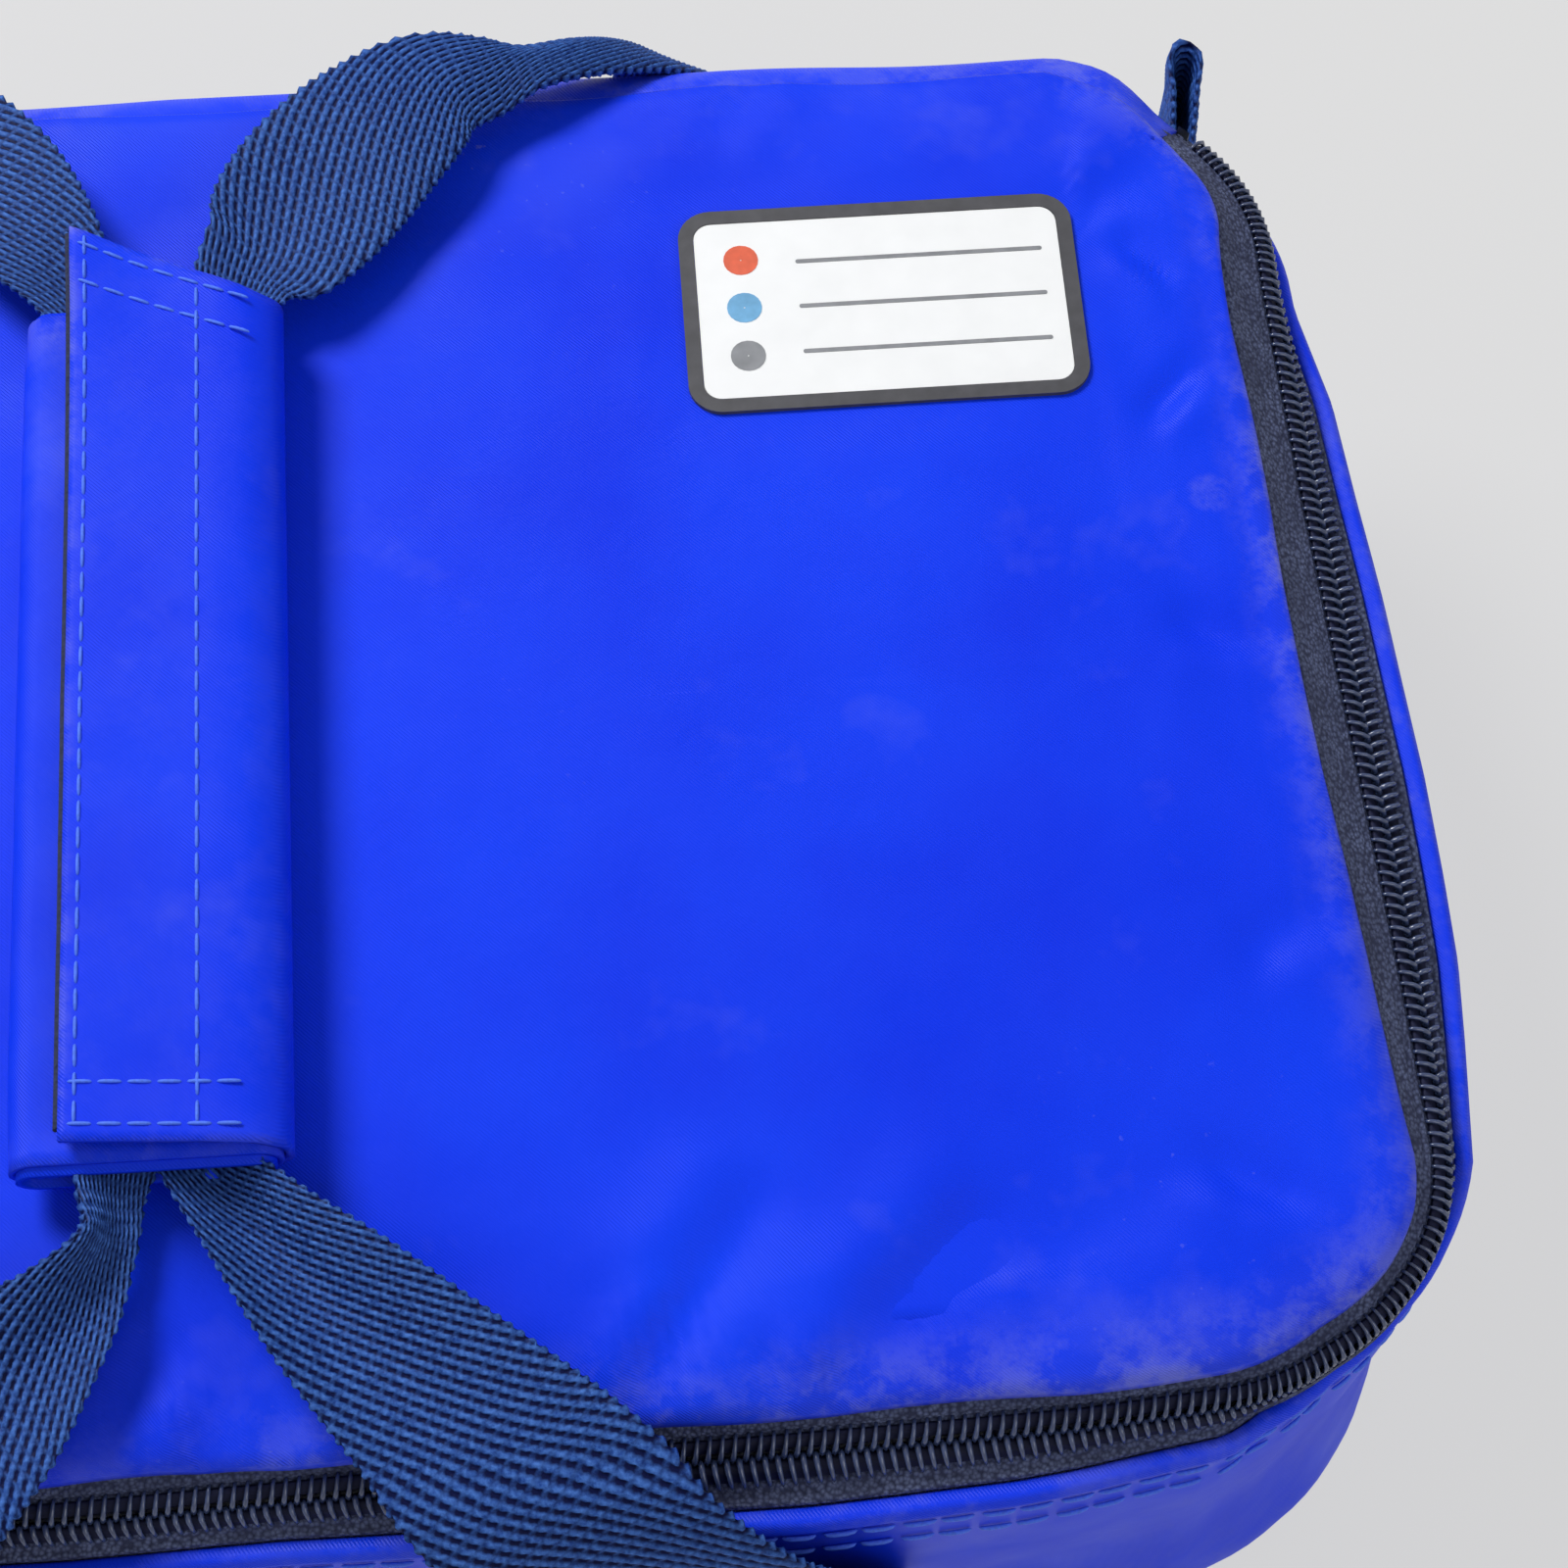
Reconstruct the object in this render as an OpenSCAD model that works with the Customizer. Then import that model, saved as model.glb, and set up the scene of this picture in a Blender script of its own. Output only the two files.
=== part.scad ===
// Soft-sided insulated lunch box: padded body, zip-round lid on a fabric hinge,
// and two webbing handles held together by a wrap with a touch-fastening flap.
// +X is to the right, -Y is the front, +Z is up; the origin is the middle of the base.

/* [Body] */
// Width of the body across its side walls
body_w = 292; // [260:1:330]
// Depth of the body from its front wall to its back wall
body_d = 184; // [165:1:210]
// Height of the walls, up to the folded bead under the zip
wall_h = 72; // [60:1:100]
// Radius of the upright corners, seen from above
corner_r = 34; // [30:1:40]
// Radius of the soft bottom edge
base_r = 10; // [9:0.5:16]
// Thickness of the coated outer cloth
cloth_t = 1; // [0.6:0.1:1.4]
// Thickness of the insulating foam
foam_t = 6; // [4:0.5:7]
// Thickness of the lining
lining_t = 0.8; // [0.5:0.1:1.2]
// How far the wall foam stops below the top of the wall
foam_drop = 3; // [2:0.5:6]
// How far the side walls turn round the back corners before the back wall starts
corner_turn = 50; // [30:5:60]

/* [Lid] */
// Height of the lid's top face above the table
lid_top = 86; // [84:1:120]
// How far the lid's edge stands out from the corner centres
lid_reach = 20; // [17:0.5:22]
// Depth of the lid's turned-down rim
lid_rim_h = 8; // [7.5:0.5:10]

/* [Zip] */
// Thickness of the woven tape
tape_t = 0.8; // [0.5:0.1:1]
// Width of both coil rows together, with the gap between them
coil_w = 4.9; // [4.5:0.1:5.6]
// Height of the coil above the tape
coil_h = 1.8; // [1.4:0.1:2.2]
// Gap between the two coil rows, where the slider's post runs
coil_gap = 1; // [0.8:0.1:1.2]
// Width of tape that shows between the lid's rim and the coil
tape_show = 8.6; // [7:0.2:9]
// Radius of the folded bead round the top of the wall
bead_r = 1.3; // [1:0.1:1.8]

/* [Slider] */
// Length of the slider along the zip
slider_l = 11; // [9:0.5:14]
// Thickness of the slider's plates
plate_t = 1; // [0.8:0.1:1.3]
// Length of the pull tab
pull_l = 24; // [18:1:32]
// Width of the pull tab
pull_w = 6.5; // [5:0.5:7.5]
// Thickness of the pull tab
pull_t = 1.4; // [1:0.1:1.8]
// Radius of the pin that carries the pull tab
pin_r = 0.7; // [0.5:0.05:0.8]

/* [Handles] */
// Width of the webbing
web_w = 25; // [20:1:28]
// Thickness of the webbing
web_t = 1.6; // [1.2:0.1:2]
// Distance of each sewn strap end from the middle of the box
anchor_x = 66; // [55:1:80]
// Height of the lower end of the sewn strap ends
anchor_z = 8; // [8:1:16]
// Length of each sewn strap end
anchor_l = 36; // [28:1:40]
// Diameter of the sewing thread
thread_d = 0.7; // [0.5:0.1:0.9]

/* [Grip] */
// Width of the closed wrap
grip_w = 29; // [27:0.5:33]
// Length of the wrap
grip_l = 105; // [90:1:110]
// Thickness of the wrap's coated cloth
wrap_t = 0.9; // [0.7:0.1:1.2]
// How far the middle of the wrap lies to the right of the middle of the box
grip_x = 1; // [-4:0.5:4]
// How far the middle of the wrap lies behind the middle of the box
grip_y = -2.5; // [-5:0.5:5]
// Gap between the lid and the underside of the wrap
grip_lift = 4; // [2:0.5:8]
// Thickness of each touch-fastening strip
touch_t = 1; // [0.7:0.1:1.5]
// Width of the hook strip
hook_w = 19; // [15:0.5:20]
// Width of the loop strip
loop_w = 16; // [12:0.5:17]
// How far the flap's free edge stays back from the left side of the wrap
flap_short = 6; // [4:0.5:8]

/* [Label and tab] */
// Width of the label
label_w = 48; // [30:1:60]
// Height of the label
label_h = 28.5; // [20:0.5:40]
// Corner radius of the label
label_r = 4; // [3:0.5:6]
// Width of the label's border
label_edge = 1.8; // [1:0.1:2.5]
// Thickness of the label
label_t = 0.5; // [0.3:0.1:0.8]
// Distance of the label's middle from the lid's right edge
label_side = 45; // [38:1:70]
// Distance of the label's middle from the lid's back edge
label_back = 27.5; // [24:0.5:45]
// Width of the loop tab's tape
tab_w = 20; // [14:1:24]
// Length of the loop tab beyond the seam
tab_l = 16; // [12:1:22]
// Gap inside the loop tab
tab_gap = 2; // [1.6:0.1:3]
// How far the loop tab stops below the top of the wall
tab_drop = 1; // [0.5:0.5:12]
// How far the loop tab leans towards the back from straight out of the corner
tab_lean = 40; // [0:2:46]

/* [Hidden] */
$fn = 64;

seat = 0.1;                 // between two layers that lie on each other
clear = 0.3;                // between soft pieces that move against each other
run = 0.4;                  // between the slider and the coil or tape
cx = body_w / 2 - corner_r; // centres of the upright corners
cy = body_d / 2 - corner_r;
foam_in = cloth_t + seat;            // depth of the foam's outer face below the outer skin
lining_in = foam_in + foam_t + seat; // depth of the lining's outer face
wall_in = lining_in + lining_t;      // whole thickness of the padded wall

// The sloping band that the zip lies in, from the lid's rim down to the bead.
rim_drop = 1;                               // the band starts this far below the lid's top
band_s = lid_reach + tape_t / 2 + seat;
band_z = lid_top - rim_drop;
bead_s = corner_r - cloth_t / 2 - seat;     // centre of the bead above the wall's top edge
bead_z = wall_h + bead_r + seat;
band_run = bead_s - bead_r - band_s;
band_fall = band_z - bead_z;
band_a = atan2(band_fall, band_run);
band_l = sqrt(band_run * band_run + band_fall * band_fall) - seat - tape_t / 2; // clear of the bead
coil_row = (coil_w - coil_gap) / 2;
coil_mid = tape_show + coil_w / 2;          // middle of the zip, measured down the band
upper_edge = coil_mid - coil_gap / 2;
lower_edge = coil_mid + coil_gap / 2;

// The slider, in the band's own directions.
flange_t = 0.7;
flange_h = coil_h - 0.2;
plate_w = coil_w + 2 * (run + flange_t);
plate_v = tape_t / 2 + coil_h + run;        // underside of the upper plate above the band
post_t = coil_gap - 2 * 0.2;
post_l = 3;
eye_w = plate_w / 2;                        // width of the pull tab's eye
eye_r = pin_r + 0.15;                       // bore of the eye
boss_r = eye_r + 0.7;                       // outside of the eye
pin_v = plate_v + plate_t + boss_r + run;
lug_t = 0.8;
lug_l = 2.4;
lug_x = eye_w / 2 + run / 2;                // inner face of each lug
overlap = 0.01;                             // sinks the parts of one solid into each other
slider_nose = 2;                            // cut-off corners of the slider's plates
slider_y = cy - slider_l / 2 - 2;           // middle of the parked slider
coil_end_y = slider_y - slider_l / 2 - run; // the coil ends just in front of it

// The wrap round both handle straps.
wrap_z = lid_top + grip_lift;               // underside of the wrap
strap_low_z = wrap_z + wrap_t + clear + web_t / 2;
strap_high_z = strap_low_z + web_t + clear;
wrap_h = 2 * wrap_t + 2 * web_t + 3 * clear;
hook_z = wrap_z + wrap_h + seat;
loop_z = hook_z + touch_t + clear;
flap_z = loop_z + touch_t + seat;
flap_right = grip_x + grip_w / 2;
flap_left = grip_x - grip_w / 2 + flap_short;
label_x = cx + lid_reach - label_side;
label_y = cy + lid_reach - label_back;
wrap_web_w = grip_w - 2 * wrap_t - wrap_h;   // the webbing is drawn in a little inside the wrap
mouth_w = web_w / 2;                        // and gathered where it leaves the wrap

function unit(v) = v / norm(v);
function arc(c, r, a0, a1, n) = [for (i = [0:n]) c + r * [cos(a0 + (a1 - a0) * i / n),
                                                         sin(a0 + (a1 - a0) * i / n)]];
// A point of the band's section: u runs down the slope, v stands out of it.
function on_band(u, v) = [band_s + u * cos(band_a) + v * sin(band_a),
                          band_z - u * sin(band_a) + v * cos(band_a)];
// A smooth curve through p, with n steps between two points.
function blend(a, b, c, d, t) = 0.5 * (2 * b + (c - a) * t + (2 * a - 5 * b + 4 * c - d) * t * t
                                       + (3 * b - a - 3 * c + d) * t * t * t);
function curve(p, n) = [for (i = [0:len(p) - 2]) for (k = [0:n - 1])
                          blend(p[max(i - 1, 0)], p[i], p[i + 1], p[min(i + 2, len(p) - 1)], k / n),
                        p[len(p) - 1]];
function place(s) = [s[0], s[1], s[2]];
function across(s) = [s[3], s[4], s[5]];

// The plan of the box, standing s out from the corner centres.
module plan(s) {
  square([2 * cx, 2 * (cy + s)], center = true);
  square([2 * (cx + s), 2 * cy], center = true);
  for (x = [-cx, cx], y = [-cy, cy]) translate([x, y]) circle(r = s);
}

// A straight run of a section, from y = from to y = to, on the right side.
module straight(from, to) {
  translate([0, from, 0]) rotate([90, 0, 0]) linear_extrude(from - to) children();
}

// A section led all the way round, as two alike halves.
module all_round() {
  for (k = [0:1]) rotate([0, 0, 180 * k]) {
    translate([cx, 0, 0]) straight(cy, -cy) children();
    translate([cx, cy, 0]) rotate_extrude(angle = 90) children();
    rotate([0, 0, 90]) translate([cy, 0, 0]) straight(cx, -cx) children();
    translate([-cx, cy, 0]) rotate([0, 0, 90]) rotate_extrude(angle = 90) children();
  }
}

// The space behind the two planes that part the back wall from the side walls.
module at_back() {
  reach = 2 * corner_r;
  side = [reach * cos(corner_turn), reach * sin(corner_turn)];
  translate([0, 0, -1]) linear_extrude(lid_top + 2)
    polygon([[cx, cy], [cx, cy] + side, [cx + side[0], cy + reach],
             [-cx - side[0], cy + reach], [-cx - side[0], cy + side[1]], [-cx, cy]]);
}

// A section led round the right side, the front and the left side, into the back corners.
module round_front() {
  difference() {
    all_round() children();
    at_back();
  }
}

// A section led round the back, from one back corner to the other.
module round_back() {
  intersection() {
    all_round() children();
    at_back();
  }
}

// The same as round_front, but ended in front of the parked slider on the left.
module along_zip() {
  difference() {
    round_front() children();
    translate([-body_w, coil_end_y, 0]) cube([body_w, body_d, lid_top + 1]);
  }
}

// One layer of the padded wall, between two depths below the outer skin.
module wall_section(outer, inner, top) {
  c = [corner_r - base_r, base_r];
  polygon(concat(arc(c, base_r - outer, -90, 0, 6), [[corner_r - outer, top]],
                 [[corner_r - inner, top]], arc(c, base_r - inner, 0, -90, 6)));
}

// One layer of the flat base inside the rounded bottom edge.
module base_layer(z, t) {
  translate([0, 0, z]) linear_extrude(t) plan(corner_r - base_r);
}

module base_panel() {
  color("mediumblue") base_layer(0, cloth_t);
}

module front_side_wall() {
  color("blue") round_front() wall_section(0, cloth_t, wall_h);
}

module back_wall() {
  color("blue") round_back() wall_section(0, cloth_t, wall_h);
}

module rim_bead() {
  color("royalblue") round_front()
    translate([bead_s, bead_z]) circle(r = bead_r, $fn = 32);
}

module base_foam() {
  color("whitesmoke") base_layer(foam_in, foam_t);
}

module wall_foam() {
  color("whitesmoke") all_round() wall_section(foam_in, foam_in + foam_t, wall_h - foam_drop);
}

module base_lining() {
  color("gainsboro") base_layer(lining_in, lining_t);
}

module wall_lining() {
  color("gainsboro") all_round() wall_section(lining_in, wall_in, wall_h);
}

// A strip of the zip's tape between two places down the band.
module tape_section(from, to) {
  polygon([on_band(from, -tape_t / 2), on_band(to, -tape_t / 2),
           on_band(to, tape_t / 2), on_band(from, tape_t / 2)]);
}

// One row of the coil: flat on the tape, rounded above.
module coil_section(from) {
  v = tape_t / 2 + seat;
  r = coil_row / 2;
  polygon([on_band(from, v), on_band(from + coil_row, v), on_band(from + coil_row, v + coil_h - r),
           on_band(from + coil_row * 0.75, v + coil_h), on_band(from + coil_row * 0.25, v + coil_h),
           on_band(from, v + coil_h - r)]);
}

module lower_zip_tape() {
  color("darkslateblue") round_front() tape_section(lower_edge, band_l);
}

module lower_zip_coil() {
  color("midnightblue") along_zip() coil_section(lower_edge);
}

// Metal stops clamped on the lower tape, past both ends of the coil.
module zip_end_stops() {
  stop_l = 2;
  stop_h = coil_h - 0.3;
  color("silver") {
    translate([-cx, 0, 0]) mirror([1, 0, 0])
      straight(cy, cy - stop_l + run) stop_section(stop_h);
    translate([cx, cy, 0]) rotate([0, 0, corner_turn]) straight(stop_l, 0) stop_section(stop_h);
  }
}

module stop_section(h) {
  v = tape_t / 2 + seat;
  polygon([on_band(lower_edge, v), on_band(lower_edge + coil_row, v),
           on_band(lower_edge + coil_row, v + h), on_band(lower_edge, v + h)]);
}

// A loop of tape sewn into the upright seam at the zip's right end. Its opening runs up and down,
// and its root is cut to the curve of the corner.
module loop_tab() {
  half = tab_gap / 2 + web_t;
  color("navy") translate([cx, cy, wall_h - tab_drop - tab_w]) linear_extrude(tab_w) difference() {
    rotate(corner_turn) translate([corner_r, 0]) rotate(tab_lean) difference() {
      union() {
        translate([-half, -half]) square([tab_l, 2 * half]);
        translate([tab_l - half, 0]) circle(r = half, $fn = 32);
      }
      translate([half + web_t, -tab_gap / 2]) square([tab_l - 2 * half - web_t, tab_gap]);
      translate([tab_l - half, 0]) circle(r = tab_gap / 2, $fn = 32);
    }
    circle(r = corner_r + seat);
  }
}

// A sewn strap end, flat on the front wall (facing = -1) or the back wall (facing = 1).
module strap_end(side, facing) {
  y = body_d / 2 + seat + web_t / 2;
  color("navy") translate([side * anchor_x, facing * y, anchor_z + anchor_l / 2])
    cube([web_w, web_t, anchor_l], center = true);
}

module left_front_strap_end() {
  strap_end(-1, -1);
}

module right_front_strap_end() {
  strap_end(1, -1);
}

module left_back_strap_end() {
  strap_end(-1, 1);
}

module right_back_strap_end() {
  strap_end(1, 1);
}

// The box with a cross that sews each strap end down.
module strap_end_stitching() {
  inset = 3;
  w = web_w - 2 * inset;
  h = anchor_l - 2 * inset;
  y = body_d / 2 + seat + web_t + seat;
  color("slateblue") for (side = [-1, 1], facing = [-1, 1])
    translate([side * anchor_x, facing * (y + thread_d / 2), anchor_z + anchor_l / 2]) {
      for (z = [-h / 2, h / 2]) translate([0, 0, z]) cube([w, thread_d, thread_d], center = true);
      for (x = [-w / 2, w / 2]) translate([x, 0, 0]) cube([thread_d, thread_d, h], center = true);
      for (a = [-1, 1]) rotate([0, a * atan2(w, h), 0])
        cube([thread_d, thread_d, norm([w, h]) - thread_d], center = true);
    }
}

// The cloth that folds over from the lid's back edge to the back wall.
module hinge_fold() {
  s = lid_reach + clear;
  fall = lid_top - wall_h - clear;
  out = corner_r - s;
  steps = 6;
  color("blue") round_back()
    polygon(concat([for (i = [0:steps]) [s + out * sin(90 * i / steps),
                                         lid_top - fall * (1 - cos(90 * i / steps))]],
                   [for (i = [steps:-1:0]) [s + (out - cloth_t) * sin(90 * i / steps),
                                            lid_top - cloth_t - (fall - cloth_t) *
                                            (1 - cos(90 * i / steps))]]));
}

// The lid's top cloth with its turned-down rim.
module lid_panel() {
  soft = 3;
  c = [lid_reach - soft, lid_top - soft];
  color("blue") {
    translate([0, 0, lid_top - cloth_t]) linear_extrude(cloth_t) plan(lid_reach - soft);
    all_round() polygon(concat(arc(c, soft, 90, 0, 4), [[lid_reach, lid_top - lid_rim_h]],
                               [[lid_reach - cloth_t, lid_top - lid_rim_h]],
                               arc(c, soft - cloth_t, 0, 90, 4)));
  }
}

module lid_foam() {
  color("whitesmoke") translate([0, 0, lid_top - foam_in - foam_t])
    linear_extrude(foam_t) plan(lid_reach - 3);
}

module lid_lining() {
  color("gainsboro") translate([0, 0, lid_top - wall_in]) linear_extrude(lining_t)
    plan(lid_reach - cloth_t - seat);
}

// The lid's tape, cut back where the parked slider sits.
module upper_zip_tape() {
  gap_u = coil_mid - plate_w / 2 - run;
  color("darkslateblue") difference() {
    round_front() tape_section(0, upper_edge);
    translate([-cx, 0, 0]) mirror([1, 0, 0])
      straight(slider_y + slider_l / 2 + run, slider_y - slider_l / 2 - run)
        polygon([on_band(gap_u, -tape_t), on_band(coil_mid, -tape_t),
                 on_band(coil_mid, tape_t), on_band(gap_u, tape_t)]);
  }
}

module upper_zip_coil() {
  color("midnightblue") along_zip()
    coil_section(upper_edge - coil_row);
}

module label_plan(inset) {
  r = label_r - inset;
  w = label_w / 2 - inset;
  h = label_h / 2 - inset;
  square([2 * (w - r), 2 * h], center = true);
  square([2 * w, 2 * (h - r)], center = true);
  for (x = [r - w, w - r], y = [r - h, h - r]) translate([x, y]) circle(r = r, $fn = 48);
}

module label_border() {
  color("dimgray") translate([label_x, label_y, lid_top + seat / 2]) linear_extrude(label_t)
    difference() {
      label_plan(0);
      label_plan(label_edge);
    }
}

module label_face() {
  color("white") translate([label_x, label_y, lid_top + seat / 2]) linear_extrude(label_t)
    label_plan(label_edge + seat / 2);
}

// A flat strap swept along stations of [x, y, z, width direction x, y, z, width].
module strap(stations) {
  s = curve(stations, 4);
  n = len(s);
  rings = [for (i = [0:n - 1])
    let (t = unit(place(s[min(i + 1, n - 1)]) - place(s[max(i - 1, 0)])),
         w = unit(across(s[i]) - (across(s[i]) * t) * t) * s[i][6] / 2,
         h = cross(t, unit(w)) * web_t / 2)
      for (c = [w - h, w + h, -w + h, -w - h]) place(s[i]) + c];
  sides = [for (i = [0:n - 2], k = [0:3])
    let (a = 4 * i + k, b = 4 * i + (k + 1) % 4)
      each [[a, b, a + 4], [b, b + 4, a + 4]]];
  last = 4 * (n - 1);
  polyhedron(rings, concat(sides, [[2, 1, 0], [3, 2, 0]],
                           [[last, last + 1, last + 2], [last, last + 2, last + 3]]));
}

// One handle strap: up the front wall, over the front edge, through the wrap and down the back.
// The leg's places are measured from the box's own faces. Three stations in line at each end
// keep the strap square to its sewn end.
function strap_route(side, grip_z) =
  let (front = -body_d / 2, back = body_d / 2, top = lid_top, start = anchor_z + anchor_l + clear,
       x = side * anchor_x, off = seat + web_t / 2, mouth = grip_l / 2, w = web_w)
    [[x, front - off, start, 1, 0, 0, w],
     [x, front - off, start + 3, 1, 0, 0, w],
     [x, front - off, start + 6, 1, 0, 0, w],
     [x - side * 10, front - off - 1.2, wall_h - 7, 0.85, 0, side * 0.5, w],
     [x - side * 24, front - off - 2, wall_h + 8, 0.8, side * 0.1, side * 0.55, w],
     [x - side * 35, front + 5, top + 2, 0.8, side * 0.45, side * 0.35, w],
     [x - side * 46, front + 15, grip_z + 0.8, 0.75, side * 0.6, side * 0.1, w],
     [grip_x + side * 6, grip_y - mouth - 6, grip_z, 1, side * 0.3, 0, mouth_w],
     [grip_x, grip_y - mouth + 5, grip_z, 1, 0, 0, wrap_web_w],
     [grip_x, grip_y, grip_z + clear / 3, 1, 0, 0, wrap_web_w],
     [grip_x, grip_y + mouth - 5, grip_z, 1, 0, 0, wrap_web_w],
     [grip_x + side * 6, grip_y + mouth + 6, grip_z, 1, side * -0.3, 0, mouth_w],
     [x - side * 38, back - 16, grip_z + 0.8, 0.75, side * -0.6, side * 0.1, w],
     [x - side * 24, back - 5, top + 2.5, 0.8, side * -0.45, side * 0.35, w],
     [x - side * 14, back + off + 2, wall_h + 8, 0.8, side * -0.1, side * 0.5, w],
     [x - side * 6, back + off + 1.7, wall_h - 4, 0.9, 0, side * 0.35, w],
     [x, back + off, start + 6, 1, 0, 0, w],
     [x, back + off, start + 3, 1, 0, 0, w],
     [x, back + off, start, 1, 0, 0, w]];

module left_strap() {
  color("navy") strap(strap_route(-1, strap_high_z));
}

module right_strap() {
  color("navy") strap(strap_route(1, strap_low_z));
}

// A flat tube's section, rounded at both sides.
module flat_oval(w, h) {
  square([w - h, h], center = true);
  for (x = [(h - w) / 2, (w - h) / 2]) translate([x, 0]) circle(d = h, $fn = 32);
}

module grip_wrap() {
  color("blue") translate([grip_x, grip_y, wrap_z + wrap_h / 2]) rotate([90, 0, 0])
    linear_extrude(grip_l, center = true) difference() {
      flat_oval(grip_w, wrap_h);
      flat_oval(grip_w - 2 * wrap_t, wrap_h - 2 * wrap_t);
    }
}

// A strip of touch fastening on the wrap, reaching right from x = left.
module touch_strip(left, w, z) {
  margin = 3;
  translate([left, grip_y - grip_l / 2 + margin, z]) cube([w, grip_l - 2 * margin, touch_t]);
}

module hook_strip() {
  color("darkslategray") touch_strip(flap_left - 2, hook_w, hook_z);
}

module loop_strip() {
  color("slategray") touch_strip(flap_left + 1, loop_w, loop_z);
}

// The flap: sewn along the wrap's right side, folded over the top, free at its left edge.
module grip_flap() {
  fold_r = (flap_z + wrap_t - wrap_z) / 2;
  fold_in = fold_r - wrap_t;
  c = [flap_right + wrap_t - fold_r + clear, wrap_z + fold_r];
  color("blue") translate([0, grip_y, 0]) rotate([90, 0, 0]) linear_extrude(grip_l, center = true)
    polygon(concat([[flap_left, flap_z + wrap_t]], arc(c, fold_r, 90, 0, 8),
                   arc(c, fold_in, 0, 90, 8), [[flap_left, flap_z]]));
}

// Puts a piece drawn in the band's directions on the left side at the parked slider:
// x runs down the slope, y runs along the zip and z stands out of the band.
module at_slider() {
  mid = on_band(coil_mid, 0);
  mirror([1, 0, 0]) translate([cx + mid[0], slider_y, mid[1]]) rotate([0, band_a, 0]) children();
}

// Two plates joined by a post that runs in the gap between the coil rows.
module slider_body() {
  lower_v = -tape_t / 2 - run - plate_t;
  lug_h = boss_r + run + pin_r;
  color("slategray") at_slider() {
    translate([0, 0, plate_v]) linear_extrude(plate_t) slider_plan();
    translate([0, 0, lower_v]) linear_extrude(plate_t) slider_plan();
    translate([0, slider_l / 2 - post_l / 2 - run, (plate_v + lower_v + plate_t) / 2])
      cube([post_t, post_l, plate_v - lower_v], center = true);
    for (side = [-1, 1]) {
      translate([side * (plate_w - flange_t) / 2, 0, plate_v - flange_h / 2])
        cube([flange_t, slider_l - 2 * slider_nose, flange_h + overlap], center = true);
      translate([side * (lug_x + lug_t / 2), 0, plate_v + plate_t + lug_h / 2 - overlap])
        cube([lug_t, lug_l, lug_h], center = true);
    }
    translate([0, 0, pin_v]) rotate([0, 90, 0])
      cylinder(r = pin_r, h = 2 * lug_x + lug_t, center = true, $fn = 32);
  }
}

module slider_plan() {
  w = plate_w / 2;
  l = slider_l / 2;
  n = slider_nose;
  polygon([[n - w, -l], [w - n, -l], [w, n - l], [w, l - n], [w - n, l],
           [n - w, l], [-w, l - n], [-w, n - l]]);
}

// The pull tab: an eye on the slider's pin, a neck and a flat tongue with a slot.
module slider_pull() {
  neck_l = norm([lug_l / 2, boss_r + run + pin_r]) + run; // clears the lugs as it swings
  color("dimgray") at_slider() translate([0, 0, pin_v]) difference() {
    union() {
      rotate([0, 90, 0]) cylinder(r = boss_r, h = eye_w, center = true, $fn = 32);
      translate([0, -neck_l / 2, 0]) cube([eye_w, neck_l, pull_t], center = true);
      linear_extrude(pull_t, center = true) tongue(neck_l - overlap, pull_l, pull_w);
    }
    rotate([0, 90, 0]) cylinder(r = eye_r, h = eye_w + 1, center = true, $fn = 32);
    linear_extrude(pull_t + 1, center = true)
      slot(neck_l + pull_l / 4, pull_l - pull_w / 3, pull_w / 2);
  }
}

// A flat tongue from y = -from to y = -to, w wide, with a round end.
module tongue(from, to, w) {
  translate([0, w / 2 - to]) circle(d = w, $fn = 48);
  translate([-w / 2, w / 2 - to]) square([w, to - w / 2 - from]);
}

// A slot with two round ends, from y = -from to y = -to.
module slot(from, to, w) {
  tongue(from + w / 2, to, w);
  translate([0, -from - w / 2]) circle(d = w, $fn = 32);
}

base_panel();
front_side_wall();
back_wall();
rim_bead();
base_foam();
wall_foam();
base_lining();
wall_lining();
lower_zip_tape();
lower_zip_coil();
zip_end_stops();
loop_tab();
left_front_strap_end();
right_front_strap_end();
left_back_strap_end();
right_back_strap_end();
strap_end_stitching();
hinge_fold();
lid_panel();
lid_foam();
lid_lining();
upper_zip_tape();
upper_zip_coil();
label_border();
label_face();
left_strap();
right_strap();
grip_wrap();
hook_strip();
grip_flap();
loop_strip();
slider_body();
slider_pull();
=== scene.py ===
"""Looks of the soft-sided lunch box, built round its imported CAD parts.

Lengths in this script are millimetres unless a name says otherwise; meshes are made in metres.
The box's outline is followed by a perimeter length that starts at the back right corner and runs
down the right side, along the front, up the left side and back along the rear.
"""
import math

import bmesh
import bpy
import numpy as np
from mathutils import Matrix, Vector


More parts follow.
